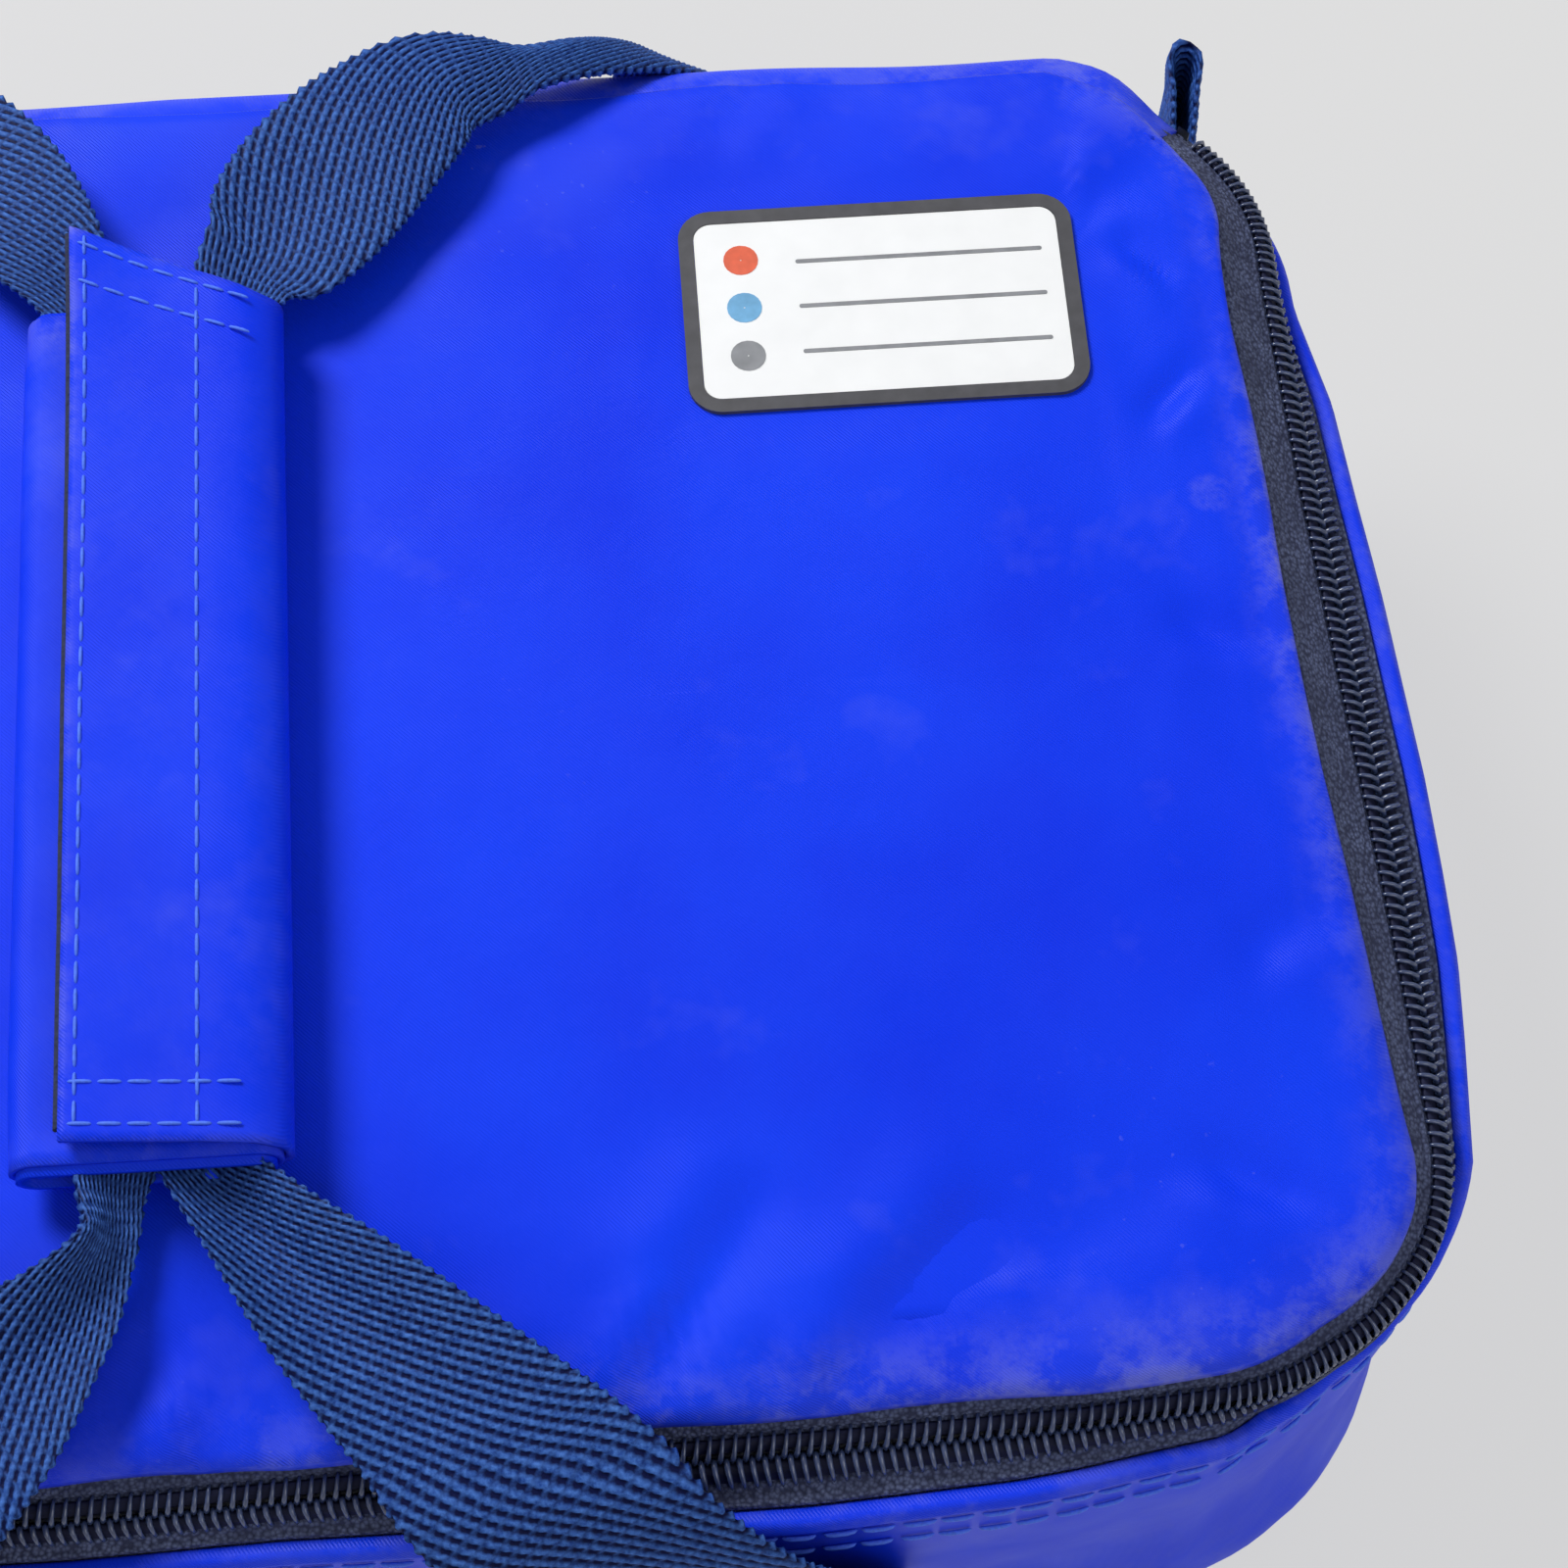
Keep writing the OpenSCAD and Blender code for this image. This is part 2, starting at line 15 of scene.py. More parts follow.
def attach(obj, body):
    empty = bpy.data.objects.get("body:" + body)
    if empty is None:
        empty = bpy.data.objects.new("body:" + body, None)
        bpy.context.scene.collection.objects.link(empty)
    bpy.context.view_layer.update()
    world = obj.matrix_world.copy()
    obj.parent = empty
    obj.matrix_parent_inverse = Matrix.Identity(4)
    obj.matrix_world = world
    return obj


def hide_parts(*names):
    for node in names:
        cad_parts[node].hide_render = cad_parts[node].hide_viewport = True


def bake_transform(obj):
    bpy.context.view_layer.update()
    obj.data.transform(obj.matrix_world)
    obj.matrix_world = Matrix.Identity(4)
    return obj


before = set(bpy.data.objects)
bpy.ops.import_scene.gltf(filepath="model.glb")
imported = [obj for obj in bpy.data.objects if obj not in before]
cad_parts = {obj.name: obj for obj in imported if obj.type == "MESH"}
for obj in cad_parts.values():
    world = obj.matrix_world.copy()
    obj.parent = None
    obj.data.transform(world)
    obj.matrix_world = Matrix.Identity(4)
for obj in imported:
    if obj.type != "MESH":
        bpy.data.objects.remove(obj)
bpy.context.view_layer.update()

MM = 0.001

# Outline: centres of the upright corners, and the perimeter of the ring this far outside them.
CORNER_X, CORNER_Y = 112.0, 58.0
RING = 30.0
QUARTER = RING * math.pi / 2
KNOTS = np.cumsum([0, QUARTER, 2 * CORNER_Y, QUARTER, 2 * CORNER_X, QUARTER, 2 * CORNER_Y,
                   QUARTER, 2 * CORNER_X])
AROUND = KNOTS[-1]
SEAM_TURN = 40 / 90                      # the zip starts this share of the way round the corner
ZIP_START = QUARTER * SEAM_TURN
ZIP_END = KNOTS[6] + QUARTER * (1 - SEAM_TURN)
COIL_END = KNOTS[5] + CORNER_Y + 44.6    # the coil stops in front of the parked slider

# Body and lid
WALL_S, WALL_TOP, BASE_R = 34.0, 72.0, 10.0
CLOTH = 1.0
LID_TOP = 86.0
CROWN = 1.6
THIN_TO = 85.2                           # along its back edge the lid's rim is thin and level
ON_TAPE_S = 19.0                         # further out than this the lid's cloth lies on the upper tape

# Zip band: it slopes down at this angle from its upper edge.
BAND_S, BAND_Z, BAND_ANGLE = 20.5, 85.0, math.radians(44.2)
TAPE = 0.8
UPPER_EDGE, LOWER_EDGE, BAND_END = 10.55, 11.55, 15.8
COIL_ROW, TOOTH_PITCH = 1.95, 1.35
BEAD_S, BEAD_Z, BEAD_R = 33.4, 73.4, 1.3
# One coil loop: share of the way over the zip, height above its slope, place along it, wire radius.
LOOP = np.array([[-0.15, 0.35, -0.3, 0.2], [0, 1.0, -0.22, 0.24], [0.35, 1.45, -0.1, 0.28],
                 [0.8, 1.6, 0.1, 0.33], [1.08, 1.2, 0.22, 0.37], [1.1, 0.6, 0.3, 0.26]])

# Webbing
WEB_W, WEB_T, WARPS, WEFT = 25.0, 1.6, 16, 2.9
ANCHOR_X, ANCHOR_Z, ANCHOR_L = 66.0, 8.0, 36.0

# Wrap round the handles
GRIP_X, GRIP_Y, GRIP_L, GRIP_W = 0.4, -1.9, 103.4, 29.4
GRIP_LOW, GRIP_HIGH = GRIP_Y - GRIP_L / 2, GRIP_Y + GRIP_L / 2
WRAP_T, WRAP_Z, WRAP_TOP = 0.9, 90.0, 95.9
FLAP_LEFT, FLAP_Z = -7.7, 98.4
HOOK_Z, LOOP_Z, TOUCH_T = 96.0, 97.3, 1.0

# Label on the lid
LABEL_X, LABEL_Y, LABEL_W, LABEL_H, LABEL_R, LABEL_EDGE = 87.0, 50.5, 48.0, 28.5, 4.0, 1.8

# How far the soft sides stand out from (+) or in from (-) the true outline at each place.
SHIFT_AT = [0, .3, .55, 1.04, 1.28, 1.5, 1.72, 1.88, 2.0, 2.2, 2.41, 2.67, 3.0, 3.07, 3.16, 3.26,
            3.44, 3.55, 3.9, 4.0, 4.5, 5.0, 5.3, 5.7, 6.3, 6.6, 7.0, 7.5, 8.0]
SHIFT_BY = [-1.6, -2.8, -3.8, -4.5, -3.8, -2.8, -1.7, -1.1, -.9, -1.5, -2.7, -3.7, -3.0, -2.0, -1.7,
            -1.5, -.5, 0, -1.6, -2.6, -3.2, -.6, .4, 0, 0, -2, -1.6, .6, -1.6]
# How much further in or out the wall and its bead stand than the zip above them, and how much the
# bead is raised where the zip's slope lies flatter.
TUCK_AT = [0, .3, .44, .7, 1.04, 1.16, 1.4, 1.6, 1.8, 2.0, 2.2, 2.4, 2.65, 2.89, 3.03, 3.1, 3.2, 3.3, 3.45,
           3.8, 4.0, 4.4, 5, 5.4, 6.6, 8]
TUCK_BY = [0, -2.4, -4.0, -4.4, -2.8, -.6, .5, .8, .2, -2.2, -4.2, -5.0, -4.8, -3.2, -.6, 1.0, 1.9, 1.5, 0,
           0, -1.4, -2.4, -1.5, 0, 0, 0]
RAISE_AT = [0, 1.0, 1.35, 1.7, 2.0, 2.4, 8]
RAISE_BY = [0, 0, 1.7, 2.2, 1.0, 0, 0]
# How far the lid's edge hangs out over the upper tape at each place.
HANG_AT = [0, .2, .39, .6, .81, 1.11, 1.31, 1.47, 1.62, 1.78, 1.94, 2.02, 2.41, 3.0, 3.5, 4.0, 4.6,
           5.1, 5.5, 6.1, 6.6, 7, 8]
HANG_BY = [7.0, 5.6, 3.6, 2.2, 1.7, 1.2, 1.8, 1.9, 1.6, 2.4, 3.6, 4.2, 5.8, 6.2, 6.2, 6, 4.5, 2.2, .6,
           .8, 5, 7.2, 7.2]

# Creases pressed into the lid: from x, y to x, y, share of the full depth, and width.
CREASE_DEPTH = 1.7
CREASES = [(49.5, -83, 57, -71.5, .9, 2.4), (57, -71.5, 65, -58, .55, 3.6), (69, -83.5, 75, -78.5, .8, 2.0),
           (75, -78.5, 90, -61, .6, 4.0), (63, -79.5, 67, -82.5, .6, 1.6), (82, -80.5, 95, -77.5, .5, 2.2),
           (3, -84, 8, -77.5, .8, 2.0), (14, -84, 9, -78, .7, 2.0), (-6, -80, 2, -71, .5, 3.0),
           (128, 40, 118, 33, .5, 2.2), (126, 52, 117, 58, .5, 2.0), (130, 2, 118, 6, .45, 2.6),
           (132, -30, 120, -36, .4, 3.0), (124, -66, 112, -58, .5, 3.0), (-60, -84, -50, -72, .7, 2.6),
           (-95, -82, -88, -70, .6, 2.4), (-130, -40, -118, -34, .5, 2.6), (-128, 30, -117, 26, .5, 2.4),
           (30, 84, 24, 74, .5, 2.6), (-20, 85, -28, 74, .5, 2.6), (75, 86, 68, 78, .4, 2.4)]


# ---------------------------------------------------------------- shapes

def smooth(t):
    """An eased step from 0 to 1."""
    t = np.clip(t, 0, 1)
    return t * t * (3 - 2 * t)


def ripples(u, v, wavelengths, seed):
    """A smooth field between about -1 and 1, the same at every run."""
    rng = np.random.default_rng(seed)
    total = np.zeros(np.broadcast(u, v).shape)
    for wavelength in wavelengths:
        angle, phase = rng.uniform(0, 2 * np.pi, 2)
        along = u * np.cos(angle) + v * np.sin(angle)
        total = total + np.sin(2 * np.pi * along / wavelength + phase)
    return total / len(wavelengths)


def stage_of(length):
    """Perimeter length to stage: 0-1 back right corner, 1-2 right side, 2-3 corner, 3-4 front..."""
    return np.interp(np.mod(length, AROUND), KNOTS, np.arange(9))


def at_stage(q, stages, values):
    """A table's value at each stage; stage 8 is stage 0 again."""
    return np.interp(np.mod(q, 8), stages, values)


def length_of(q):
    return at_stage(q, np.arange(9), KNOTS)


def outline(length):
    """Corner centre line point and outward direction at each perimeter length."""
    q = stage_of(np.asarray(length, float))
    k = np.minimum(np.floor(q), 7).astype(int)
    f = q - k
    x0 = CORNER_X * np.array([1, 1, 1, 1, -1, -1, -1, -1])
    y0 = CORNER_Y * np.array([1, 1, -1, -1, -1, -1, 1, 1])
    dx = 2 * CORNER_X * np.array([0, 0, 0, -1, 0, 0, 0, 1])
    dy = 2 * CORNER_Y * np.array([0, -1, 0, 0, 0, 1, 0, 0])
    facing = np.array([90, 0, 0, -90, -90, 180, 180, 90])
    turn = np.array([-90, 0, -90, 0, -90, 0, -90, 0])
    angle = np.radians(facing[k] + turn[k] * f)
    centre = np.stack([x0[k] + dx[k] * f, y0[k] + dy[k] * f], -1)
    return centre, np.stack([np.cos(angle), np.sin(angle)], -1)


def place_of(x, y):
    """Stage, outward direction and distance out of the corner centres for points in plan."""
    cx, cy = np.clip(x, -CORNER_X, CORNER_X), np.clip(y, -CORNER_Y, CORNER_Y)
    dx, dy = x - cx, y - cy
    s = np.hypot(dx, dy)
    angle = np.degrees(np.arctan2(dy, dx))
    corner = (np.abs(x) > CORNER_X) & (np.abs(y) > CORNER_Y)
    flat_x = np.abs(x) > CORNER_X
    right, front = x > 0, y < 0
    q = np.where(right, 1 + (CORNER_Y - cy) / (2 * CORNER_Y), 5 + (cy + CORNER_Y) / (2 * CORNER_Y))
    along_x = np.where(front, 3 + (CORNER_X - cx) / (2 * CORNER_X), 7 + (cx + CORNER_X) / (2 * CORNER_X))
    q = np.where(flat_x, q, along_x)
    at_corner = np.where(right & ~front, (90 - angle) / 90,
                         np.where(right, 2 - angle / 90,
                                  np.where(front, 4 + (-90 - angle) / 90, 6 + (180 - angle) / 90)))
    q = np.where(corner, at_corner, q)
    safe = np.maximum(s, 1e-6)
    return q, dx / safe, dy / safe, s


def soften(points):
    """Draws the true outline in and lets the padded walls belly out, as the worn box does.

    The tuck takes hold in a band inside the wall's cloth, which is wider near the base, so that
    nothing folds over there."""
    p = np.array(points, float)
    q, nx, ny, s = place_of(p[:, 0], p[:, 1])
    z = p[:, 2]
    part = np.mod(q, 2) - 1
    middle = np.where(part > 0, np.sin(np.pi * np.clip(part, 0, 1)), 0)
    height = np.clip(z / WALL_TOP, 0, 1)
    uneven = 0.5 * ripples(length_of(q), z * 1.6, (95, 61, 42), 3)
    belly = np.sin(np.pi * height) * (0.8 * middle + uneven)
    band = 4 + 10 * (1 - smooth(z / 40))
    tucked = smooth((s - WALL_S + CLOTH + band) / band) * smooth((z + 14) / 30)
    shift = at_stage(q, SHIFT_AT, SHIFT_BY) * smooth((z - 3) / 32) + belly
    shift += at_stage(q, TUCK_AT, TUCK_BY) * tucked
    shift *= smooth(s / 20)
    p[:, 0] += nx * shift
    p[:, 1] += ny * shift
    p[:, 2] += at_stage(q, RAISE_AT, RAISE_BY) * smooth((s - 29) / 3) * smooth((z - 45) / 26)
    return p


def lid_height(x, y):
    """Height of the lid's cloth: a soft crown with broad, shallow hollows, flat under the label."""
    crown = np.clip(1 - (x / 140) ** 2, 0, 1) * np.clip(1 - (y / 90) ** 2, 0, 1)
    soft = LID_TOP - 0.2 + CROWN * crown + 0.55 * ripples(x, y, (120, 83, 57, 44), 11)
    away = np.maximum(np.abs(x - LABEL_X) - LABEL_W / 2, np.abs(y - LABEL_Y) - LABEL_H / 2)
    return soft + (label_plane(x, y) - soft) * smooth(1 - away / 7)


def creased(x, y):
    """How far the creases lower the lid: a narrow valley with a low ridge beside it."""
    total = np.zeros(np.shape(x))
    for x0, y0, x1, y1, depth, width in CREASES:
        along = np.array([x1 - x0, y1 - y0])
        reach = np.linalg.norm(along)
        along = along / reach
        far = ((x - x0) * along[0] + (y - y0) * along[1]) / reach
        side = (x - x0) * -along[1] + (y - y0) * along[0]
        ends = smooth((far + 0.25) / 0.5) * smooth((1.25 - far) / 0.5)
        valley = np.exp(-(side / width) ** 2) - 0.55 * np.exp(-((side - 1.9 * width) / (1.2 * width)) ** 2)
        total += CREASE_DEPTH * depth * ends * valley
    return total


def label_plane(x, y):
    """The flat that the stiff label keeps in the lid's cloth."""
    return LID_TOP + 0.35 - 0.012 * (x - LABEL_X) - 0.016 * (y - LABEL_Y)


def grid(rows, cols, close_rows=False, close_cols=False):
    """Quads of a grid of points that are stored row by row."""
    r = np.arange(rows if close_rows else rows - 1)
    c = np.arange(cols if close_cols else cols - 1)
    r, c = np.meshgrid(r, c, indexing="ij")
    r1, c1 = (r + 1) % rows, (c + 1) % cols
    quads = np.stack([r * cols + c, r * cols + c1, r1 * cols + c1, r1 * cols + c], -1)
    return quads.reshape(-1, 4).tolist()


def make(name, points, faces, material, slot, flat=False, **attributes):
    """A mesh object from points in millimetres, with its normals turned outwards."""
    mesh = bpy.data.meshes.new(name)
    mesh.from_pydata((np.asarray(points, float) * MM).tolist(), [], faces)
    for key, values in attributes.items():
        layer = mesh.attributes.new(key, "FLOAT", "POINT")
        layer.data.foreach_set("value", np.asarray(values, np.float32).ravel())
    clean = bmesh.new()
    clean.from_mesh(mesh)
    bmesh.ops.remove_doubles(clean, verts=clean.verts, dist=1e-6)
    bmesh.ops.recalc_face_normals(clean, faces=clean.faces)
    clean.to_mesh(mesh)
    clean.free()
    if flat:
        mesh.shade_flat()
    else:
        mesh.shade_smooth()
    mesh.materials.append(material)
    obj = bpy.data.objects.new(name, mesh)
    bpy.context.scene.collection.objects.link(obj)
    return obj


def dress(piece, node, body):
    """Shows the piece in place of its CAD node, on that node's body."""
    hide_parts(node)
    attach(piece, body)
    return piece


def sweep(name, start, end, step, section, material, slot, closed=False, wear=None):
    """Leads a closed section of (s, z) points round the outline; section may depend on length."""
    n = max(2, int(round((end - start) / step)) + (0 if closed else 1))
    length = start + (end - start) * np.arange(n) / (n if closed else n - 1)
    centre, out = outline(length)
    rings = section(length) if callable(section) else np.broadcast_to(section, (n,) + np.shape(section))
    m = rings.shape[1]
    points = np.empty((n, m, 3))
    points[:, :, :2] = centre[:, None] + out[:, None] * rings[:, :, :1]
    points[:, :, 2] = rings[:, :, 1]
    faces = grid(n, m, close_rows=closed, close_cols=True)
    if not closed:
        faces += [list(range(m)), list(range((n - 1) * m, n * m))]
    points = soften(points.reshape(-1, 3))
    extra = {} if wear is None else {"wear": np.broadcast_to(wear, (n, m))}
    return make(name, points, faces, material, slot, **extra)


def turned(centre, radius, first, last, count):
    """Points on an arc between two angles in degrees."""
    a = np.radians(np.linspace(first, last, count))
    return np.stack([centre[0] + radius * np.cos(a), centre[1] + radius * np.sin(a)], -1)


def wall_ring(outer, inner, top):
    """Section of one wall layer, between two depths below the outer skin."""
    centre = (WALL_S - BASE_R, BASE_R)
    rise = np.linspace(BASE_R, top, 26)[1:]
    up = np.stack([np.full(25, WALL_S - outer), rise], -1)
    down = np.stack([np.full(25, WALL_S - inner), rise[::-1]], -1)
    return np.concatenate([turned(centre, BASE_R - outer, -90, 0, 8), up, down,
                           turned(centre, BASE_R - inner, 0, -90, 8)])


def tape_height(s):
    """Height of the upper tape's face this far out from the corner centres."""
    return BAND_Z + 0.57 - (s - BAND_S) * math.tan(BAND_ANGLE)


def slab(name, rim, top, bottom, material, slot, step=2.0, rings=24, hang=None, wear=None, thin=None,
         dents=None):
    """A padded plate: bottom face, a rim section of (s, z) points and a top face, closed.

    hang(length) moves the rim out by its third column; thin(length) draws its underside up;
    dents(x, y) lowers the upper side, which stays clear of the tape that it lies on."""
    n = int(round(AROUND / step))
    length = AROUND * np.arange(n) / n
    centre, out = outline(length)
    rim = np.array(rim, float)
    edge_low, edge_high = rim[0, 0], rim[-1, 0]
    extra = np.zeros((n, len(rim))) if hang is None else hang(length)[:, None] * rim[None, :, 2]
    spine = np.stack([np.clip(centre[:, 0], -54, 54), np.zeros(n)], -1)
    layers, worn = [], []

    def inner(edge, height, outwards):
        base = centre + out * edge
        shares = np.linspace(0, 1, rings, endpoint=False) ** 0.8
        for share in shares if outwards else shares[::-1]:
            flat = spine + (base - spine) * share
            layers.append(np.column_stack([flat, height(flat[:, 0], flat[:, 1])]))
            worn.append(np.zeros(n))

    inner(edge_low, bottom, True)
    for k in range(len(rim)):
        reach = rim[k, 0] + extra[:, k]
        flat = centre + out * reach[:, None]
        level = np.full(n, rim[k, 1])
        if thin is not None and rim[k, 2] > 0:
            level = level + thin(length) * np.maximum(THIN_TO - level, 0) * 0.85
            if rim[k, 2] > 0.5:
                on_tape = tape_height(reach) + 1.1 * (k - 4) / (len(rim) - 5)
                level = np.maximum(level, np.minimum(on_tape, 85.75))
        if dents is not None:
            lower = level - dents(flat[:, 0], flat[:, 1]) * smooth((level - 80.5) / 3)
            held = np.maximum(lower, np.minimum(level, tape_height(reach) + 0.25))
            level = np.where(reach > ON_TAPE_S, held, lower)
        layers.append(np.column_stack([flat, level]))
        worn.append(np.full(n, rim[k, 3] if rim.shape[1] > 3 else 0))
    inner(edge_high, top, False)
    points = np.stack(layers).reshape(-1, 3)
    attributes = {} if wear is None else {"wear": np.stack(worn) * wear(length)[None, :]}
    return make(name, soften(points), grid(len(layers), n, close_cols=True), material, slot, **attributes)


def curve(stations, count):
    """A smooth run through stations, evenly spaced along its length. Columns 0-2 are x, y, z."""
    p = np.array(stations, float)
    ends = np.vstack([2 * p[0] - p[1], p, 2 * p[-1] - p[-2]])
    t = np.linspace(0, 1, 14, endpoint=False)[:, None]
    run = []
    for a, b, c, d in zip(ends[:-3], ends[1:-2], ends[2:-1], ends[3:]):
        run.append(0.5 * (2 * b + (c - a) * t + (2 * a - 5 * b + 4 * c - d) * t ** 2
                          + (3 * b - a - 3 * c + d) * t ** 3))
    run = np.vstack(run + [p[-1:]])
    far = np.concatenate([[0], np.cumsum(np.linalg.norm(np.diff(run[:, :3], axis=0), axis=1))])
    want = np.linspace(0, far[-1], count)
    return np.stack([np.interp(want, far, run[:, k]) for k in range(run.shape[1])], -1), far[-1]


def unit(v):
    return v / np.maximum(np.linalg.norm(v, axis=-1, keepdims=True), 1e-9)


def webbing(name, stations, thickness=WEB_T):
    """Webbing with its real weave. Stations: x, y, z, width direction, width, cup, curl."""
    _, total = curve(stations, 50)
    count = int(total / WEFT * 8) + 1
    run, total = curve(stations, count)
    place = run[:, :3]
    along = unit(np.gradient(place, axis=0))
    wide = unit(run[:, 3:6] - along * np.sum(run[:, 3:6] * along, axis=1, keepdims=True))
    up = np.cross(along, wide)
    share = np.linspace(-1, 1, WARPS * 4 + 1)
    beat = np.linspace(0, total, count)[:, None] / WEFT
    across = (share[None] + 1) / 2 * WARPS + 0.14 * np.sin(4 * np.pi * beat)
    pillow = np.clip(0.5 + 0.62 * np.cos(2 * np.pi * across) * np.cos(2 * np.pi * beat), 0, 1)
    edge = np.abs(share) > 0.99
    notch = np.sin(4 * np.pi * beat)
    pillow = np.where(edge[None], 0.45 + 0.35 * notch, pillow)
    half = run[:, 6:7] / 2 * share[None] + np.where(edge, np.sign(share), 0)[None] * 0.2 * notch
    cup = run[:, 7:8] * (1 - np.abs(share[None]) ** 1.4) + run[:, 8:9] * np.sin(np.pi * share[None])
    layers = []
    for side in (1, -1):
        lift = cup + side * (thickness / 2 * (1 - 0.5 * share[None] ** 8) - 0.34 + 0.48 * pillow)
        face = place[:, None] + wide[:, None] * half[..., None] + up[:, None] * lift[..., None]
        layers.append(face if side > 0 else face[:, ::-1])
    points = np.concatenate(layers, axis=1)
    crown = np.concatenate([pillow, pillow[:, ::-1]], axis=1)
    m = points.shape[1]
    faces = grid(count, m, close_cols=True)
    faces += [list(range(m)), list(range((count - 1) * m, count * m))]
    return make(name, soften(points.reshape(-1, 3)), faces, WEBBING, "webbing", crown=crown)


def stitches(name, lines, pitch, radius, fill=0.72, softened=True):
    """Rows of short raised stitches. Each line is its points and its outward direction."""
    ring = np.radians(np.arange(0, 360, 60))
    spans = np.array([[-0.5, 0.15, -0.25], [-0.42, 0.8, 0.1], [-0.2, 1, 0.4], [0.2, 1, 0.4],
                      [0.42, 0.8, 0.1], [0.5, 0.15, -0.25]])
    points, faces = [], []
    for line, normal in lines:
        line = np.array(line, float)
        far = np.concatenate([[0], np.cumsum(np.linalg.norm(np.diff(line, axis=0), axis=1))])
        for mid in np.arange(pitch / 2, far[-1], pitch):
            ahead = [np.interp(mid + d, far, line[:, k]) for d in (-0.5, 0.5) for k in range(3)]
            here = np.array([np.interp(mid, far, line[:, k]) for k in range(3)])
            along = unit(np.array(ahead[3:]) - np.array(ahead[:3]))
            out = unit(np.array(normal, float) - along * np.dot(normal, along))
            side = np.cross(along, out)
            first = len(points)
            for share, thick, rise in spans:
                for a in ring:
                    points.append(here + along * share * pitch * fill
                                  + side * math.cos(a) * radius * thick
                                  + out * (math.sin(a) * radius * thick + rise * radius))
            faces += [[first + v for v in quad] for quad in grid(len(spans), len(ring), close_cols=True)]
            faces += [[first + k for k in range(6)], [first + 30 + k for k in range(6)]]
    points = np.array(points)
    return make(name, soften(points) if softened else points, faces, THREAD, "thread")


def sheet_strip(name, path, width_from, width_to, thick, material, slot, steps=70, lift=None, wear=None,
                skew=None):
    """A strip of cloth that follows path, a list of (x, z) points, and reaches along y."""
    path, _ = curve([(x, 0, z) for x, z in path], 40)
    tangent = unit(np.gradient(path[:, [0, 2]], axis=0))
    normal = np.stack([-tangent[:, 1], tangent[:, 0]], -1)
    y = np.linspace(width_from, width_to, steps)
    raise_by = np.zeros((steps, len(path))) if lift is None else lift(y[:, None], path[None, :, 0])
    faces_of = []
    for side in (0.5, -0.5):
        flat = path[:, [0, 2]] + normal * thick * side
        face = np.empty((steps, len(path), 3))
        face[:, :, 0] = flat[None, :, 0]
        face[:, :, 1] = y[:, None]
        if skew is not None:
            face[:, :, 1] += skew(y[:, None], flat[None, :, 0])
        face[:, :, 2] = flat[None, :, 1] + raise_by
        faces_of.append(face if side > 0 else face[:, ::-1])
    points = np.concatenate(faces_of, axis=1)
    m = points.shape[1]
    faces = grid(steps, m, close_cols=True) + [list(range(m)), list(range((steps - 1) * m, steps * m))]
    extra = {}
    if wear is not None:
        worn = wear(y[:, None], path[None, :, 0])
        extra["wear"] = np.concatenate([worn, worn[:, ::-1]], axis=1)
    return make(name, points.reshape(-1, 3), faces, material, slot, **extra)


# ---------------------------------------------------------------- materials

def new_material(name):
    material = bpy.data.materials.new(name)
    material.use_nodes = True
    tree = material.node_tree
    tree.nodes.clear()
    shader = tree.nodes.new("ShaderNodeBsdfPrincipled")
    end = tree.nodes.new("ShaderNodeOutputMaterial")
    tree.links.new(shader.outputs["BSDF"], end.inputs["Surface"])
    return material, tree, shader


def add(tree, kind, **inputs):
    """A node with its inputs set to numbers or linked to other nodes' sockets."""
    node = tree.nodes.new(kind)
    for key, value in inputs.items():
        socket = node.inputs[int(key[1:])] if key[0] == "i" and key[1:].isdigit() else node.inputs[key]
        if isinstance(value, bpy.types.NodeSocket):
            tree.links.new(value, socket)
        else:
            socket.default_value = value
    return node


def where(tree):
    return add(tree, "ShaderNodeTexCoord").outputs["Object"]


def noise(tree, scale, detail=3.0, roughness=0.5):
    return add(tree, "ShaderNodeTexNoise", Vector=where(tree), Scale=scale, Detail=detail,
               Roughness=roughness).outputs["Fac"]


def waves(tree, scale, direction, distortion=0.6):
    node = add(tree, "ShaderNodeTexWave", Vector=where(tree), Scale=scale, Distortion=distortion)
    node.bands_direction = direction
    return node.outputs["Fac"]


def sums(tree, operation, a, b, clamp=False):
    node = add(tree, "ShaderNodeMath", i0=a, i1=b)
    node.operation = operation
    node.use_clamp = clamp
    return node.outputs[0]


def spread(tree, value, low, high, to_low=0.0, to_high=1.0):
    node = add(tree, "ShaderNodeMapRange", Value=value)
    for key, number in zip(("From Min", "From Max", "To Min", "To Max"), (low, high, to_low, to_high)):
        node.inputs[key].default_value = number
    return node.outputs["Result"]


def blend_colour(tree, share, first, second):
    node = tree.nodes.new("ShaderNodeMix")
    node.data_type = "RGBA"
    for socket, value in ((node.inputs[0], share), (node.inputs[6], first), (node.inputs[7], second)):
        if isinstance(value, bpy.types.NodeSocket):
            tree.links.new(value, socket)
        else:
            socket.default_value = value if isinstance(value, float) else (*value, 1)
    return node.outputs[2]


def bump(tree, shader, height, strength, distance_mm):
    node = add(tree, "ShaderNodeBump", Height=height, Strength=strength, Distance=distance_mm * MM)
    tree.links.new(node.outputs["Normal"], shader.inputs["Normal"])


def attribute(tree, name):
    node = tree.nodes.new("ShaderNodeAttribute")
    node.attribute_name = name
    return node.outputs["Fac"]


